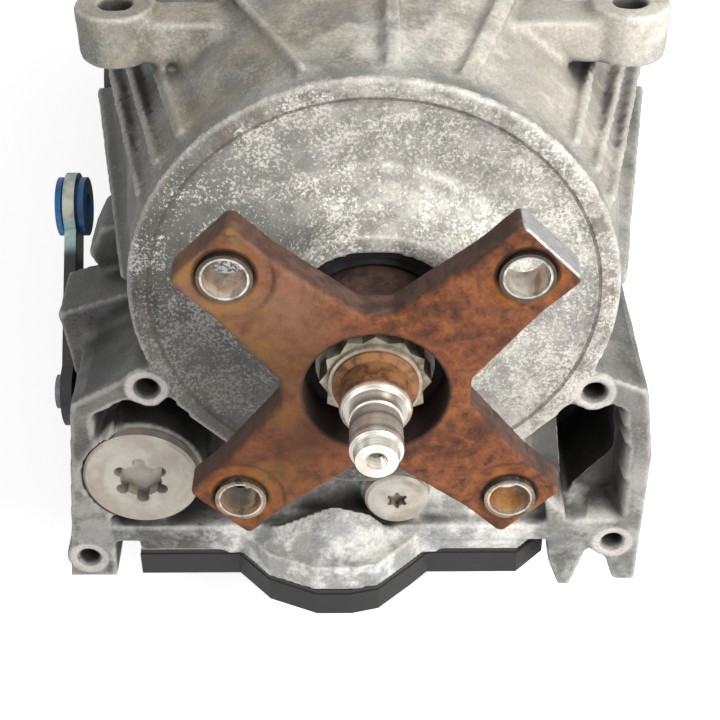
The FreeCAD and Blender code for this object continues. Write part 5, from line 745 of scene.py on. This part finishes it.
def open_pockets(piece):
    """Widen the frame's pockets to its outer walls and the rim, round the bosses."""
    mesh = piece.data
    points = mesh_points(mesh)
    hollow = inside_outline(points, LEFT_POCKET) | inside_outline(points, RIGHT_POCKET)
    hollow &= np.hypot(points[:, 0], points[:, 2]) > RIM_REACH
    hollow &= np.hypot(points[:, 0] - FILL_PLUG[0], points[:, 2] - FILL_PLUG[1]) > FILL_BOSS
    for x, z in MOUNT_HOLES:
        hollow &= np.hypot(points[:, 0] - x, points[:, 2] - z) > MOUNT_BOSS
    hollow &= points[:, 1] < POCKET_FLOOR_Y
    points[hollow, 1] = POCKET_FLOOR_Y
    mesh.vertices.foreach_set("co", points.ravel())
    mesh.update()


LEFT_POCKET = [
    (-0.0890, -0.0445), (-0.0775, -0.0383), (-0.0640, -0.0315), (-0.0450, -0.0525), (-0.0440, -0.0640),
    (-0.0480, -0.0910), (-0.0870, -0.0920), (-0.0895, -0.0600),
]
RIGHT_POCKET = [
    (0.0500, -0.0500), (0.0580, -0.0430), (0.0640, -0.0400), (0.0784, -0.0418), (0.0820, -0.0630),
    (0.0825, -0.0895), (0.0740, -0.0905), (0.0640, -0.0860), (0.0500, -0.0740),
]
CASE_ROUGHNESS = ((0.012, 0.00018, 1), (0.004, 0.00012, 2), (0.0018, 0.00006, 3))
CASE_VOXEL = 0.0012
CASE_ROUNDS = 8

case = remeshed("main_case", "case_casting", CASE_VOXEL)
open_pockets(case)
soften(case, case_weights, CASE_ROUNDS, CASE_ROUGHNESS)
dress(case, LOOKS["cast_aluminium"])
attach(case, "case")
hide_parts("main_case")


HOUSING_FRONT_Y = -0.0012
HOUSING_BACK_Y = -0.1485
HOUSING_ROUGHNESS = ((0.014, 0.00018, 4), (0.005, 0.0001, 5))
HOUSING_VOXEL = 0.0022
HOUSING_ROUNDS = 9


def housing_weights(points):
    """Both bolted faces keep their shape."""
    weights = np.ones(len(points))
    weights[points[:, 1] > HOUSING_FRONT_Y] = 0.1
    weights[points[:, 1] < HOUSING_BACK_Y] = 0.1
    return weights


housing = remeshed("converter_housing", "housing_casting", HOUSING_VOXEL)
soften(housing, housing_weights, HOUSING_ROUNDS, HOUSING_ROUGHNESS)
dress(housing, LOOKS["housing_aluminium"])
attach(housing, "case")
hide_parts("converter_housing")


FLANGE_BORE = 0.0215
FLANGE_ROUGHNESS = ((0.007, 0.00012, 6), (0.0025, 0.00009, 7), (0.0012, 0.00004, 8))
FLANGE_VOXEL = 0.00062
FLANGE_ROUNDS = 5


def flange_weights(points):
    """The bore and the hub keep their shape."""
    weights = np.ones(len(points)) * 0.8
    weights[np.hypot(points[:, 0], points[:, 2]) < FLANGE_BORE] = 0.1
    return weights


flange = remeshed("output_flange", "flange_forging", FLANGE_VOXEL)
soften(flange, flange_weights, FLANGE_ROUNDS, FLANGE_ROUGHNESS)
dress(flange, LOOKS["rusted_steel"])
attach(flange, "output")
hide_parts("output_flange")


# Soft edges on the other pieces in view

EDGE_WIDTHS = {
    "oil_pan": 0.0014,
    "fill_plug": 0.0004,
    "level_plug": 0.0003,
    "flange_nut": 0.0004,
    "flange_sleeves": 0.0003,
    "output_shaft": 0.0002,
    "shift_lever": 0.0006,
    "lever_bush": 0.0005,
    "housing_bolts": 0.0004,
    "pan_bolts": 0.0003,
    "electrical_connector": 0.0005,
    "converter_cover": 0.0008,
    "output_seal": 0.0002,
}
EDGE_ANGLE = math.radians(32)

for name, width in EDGE_WIDTHS.items():
    bevel = nodes[name].modifiers.new("soft_edge", "BEVEL")
    bevel.width = width
    bevel.segments = 3
    bevel.limit_method = "ANGLE"
    bevel.angle_limit = EDGE_ANGLE
    bevel.harden_normals = True


# Floor, light and camera

FLOOR_HALF = 6
FLOOR_COLOUR = (0.9, 0.9, 0.92)
FLOOR_GLOW = 0.6
WORLD_LIGHT = 0.45
WORLD_SEEN = 1.0
CAMERA_PLACE = (-0.004217, -0.90664, 0.25048)
CAMERA_FORWARD = (0, 0.7864, -0.6177)
CAMERA_ROLL = math.radians(-0.26)
CAMERA_LENS = 72.1


def stage_card(name, corners, colour, camera_strength):
    """A card that takes shadows and glows a little for the camera alone."""
    mesh = bpy.data.meshes.new(name)
    mesh.from_pydata(corners, [], [(0, 1, 2, 3)])
    card = bpy.data.objects.new(name, mesh)
    bpy.context.scene.collection.objects.link(card)
    material = bpy.data.materials.new(name)
    material.use_nodes = True
    tree = material.node_tree
    output = tree.nodes["Material Output"]
    surface = tree.nodes["Principled BSDF"]
    surface.inputs["Base Color"].default_value = (*colour, 1)
    surface.inputs["Roughness"].default_value = 0.9
    glow = tree.nodes.new("ShaderNodeEmission")
    glow.inputs["Color"].default_value = (1, 1, 1, 1)
    glow.inputs["Strength"].default_value = camera_strength
    none = tree.nodes.new("ShaderNodeEmission")
    none.inputs["Strength"].default_value = 0.0
    paths = tree.nodes.new("ShaderNodeLightPath")
    gate = tree.nodes.new("ShaderNodeMixShader")
    total = tree.nodes.new("ShaderNodeAddShader")
    tree.links.new(paths.outputs["Is Camera Ray"], gate.inputs[0])
    tree.links.new(none.outputs[0], gate.inputs[1])
    tree.links.new(glow.outputs[0], gate.inputs[2])
    tree.links.new(surface.outputs[0], total.inputs[0])
    tree.links.new(gate.outputs[0], total.inputs[1])
    tree.links.new(total.outputs[0], output.inputs["Surface"])
    card.data.materials.append(material)


floor_z = cad_box[0][2]
floor_corners = [
    (-FLOOR_HALF, -FLOOR_HALF, floor_z),
    (FLOOR_HALF, -FLOOR_HALF, floor_z),
    (FLOOR_HALF, FLOOR_HALF, floor_z),
    (-FLOOR_HALF, FLOOR_HALF, floor_z),
]
stage_card("floor", floor_corners, FLOOR_COLOUR, FLOOR_GLOW)

world = bpy.data.worlds.new("studio")
bpy.context.scene.world = world
world.use_nodes = True
tree = world.node_tree
background = tree.nodes["Background"]
background.inputs["Color"].default_value = (1, 1, 1, 1)
background.inputs["Strength"].default_value = WORLD_LIGHT
seen = tree.nodes.new("ShaderNodeBackground")
seen.inputs["Color"].default_value = (1, 1, 1, 1)
seen.inputs["Strength"].default_value = WORLD_SEEN
paths = tree.nodes.new("ShaderNodeLightPath")
mixer = tree.nodes.new("ShaderNodeMixShader")
largest = tree.nodes.new("ShaderNodeMath")
largest.operation = "MAXIMUM"
tree.links.new(paths.outputs["Is Camera Ray"], largest.inputs[0])
tree.links.new(paths.outputs["Is Glossy Ray"], largest.inputs[1])
tree.links.new(largest.outputs[0], mixer.inputs[0])
tree.links.new(background.outputs[0], mixer.inputs[1])
tree.links.new(seen.outputs[0], mixer.inputs[2])
tree.links.new(mixer.outputs[0], tree.nodes["World Output"].inputs["Surface"])


def area_light(name, place, aim, side, power, colour):
    data = bpy.data.lights.new(name, "AREA")
    data.shape = "RECTANGLE"
    data.size = side
    data.size_y = side
    data.energy = power
    data.color = colour
    lamp = bpy.data.objects.new(name, data)
    bpy.context.scene.collection.objects.link(lamp)
    lamp.location = place
    lamp.rotation_mode = "QUATERNION"
    lamp.rotation_quaternion = (Vector(aim) - Vector(place)).to_track_quat("-Z", "Y")


area_light(
    "key_light",
    place=(0.55, -1.15, 0.55),
    aim=(0, -0.52, -0.02),
    side=0.5,
    power=15.5,
    colour=(1.0, 0.985, 0.96),
)
area_light(
    "fill_light",
    place=(-1.1, -1.1, 0.8),
    aim=(0, -0.5, 0),
    side=1.0,
    power=3,
    colour=(0.95, 0.975, 1.0),
)

camera_data = bpy.data.cameras.new("camera")
camera_data.sensor_width = 36
camera_data.lens = CAMERA_LENS
camera_data.clip_start = 0.05
camera_data.clip_end = 50
camera = bpy.data.objects.new("camera", camera_data)
bpy.context.scene.collection.objects.link(camera)
bpy.context.scene.camera = camera
camera.location = CAMERA_PLACE
camera.rotation_mode = "QUATERNION"
roll = Matrix.Rotation(CAMERA_ROLL, 3, "Z").to_quaternion()
camera.rotation_quaternion = Vector(CAMERA_FORWARD).normalized().to_track_quat("-Z", "Y") @ roll

bpy.context.scene.view_settings.view_transform = "Standard"
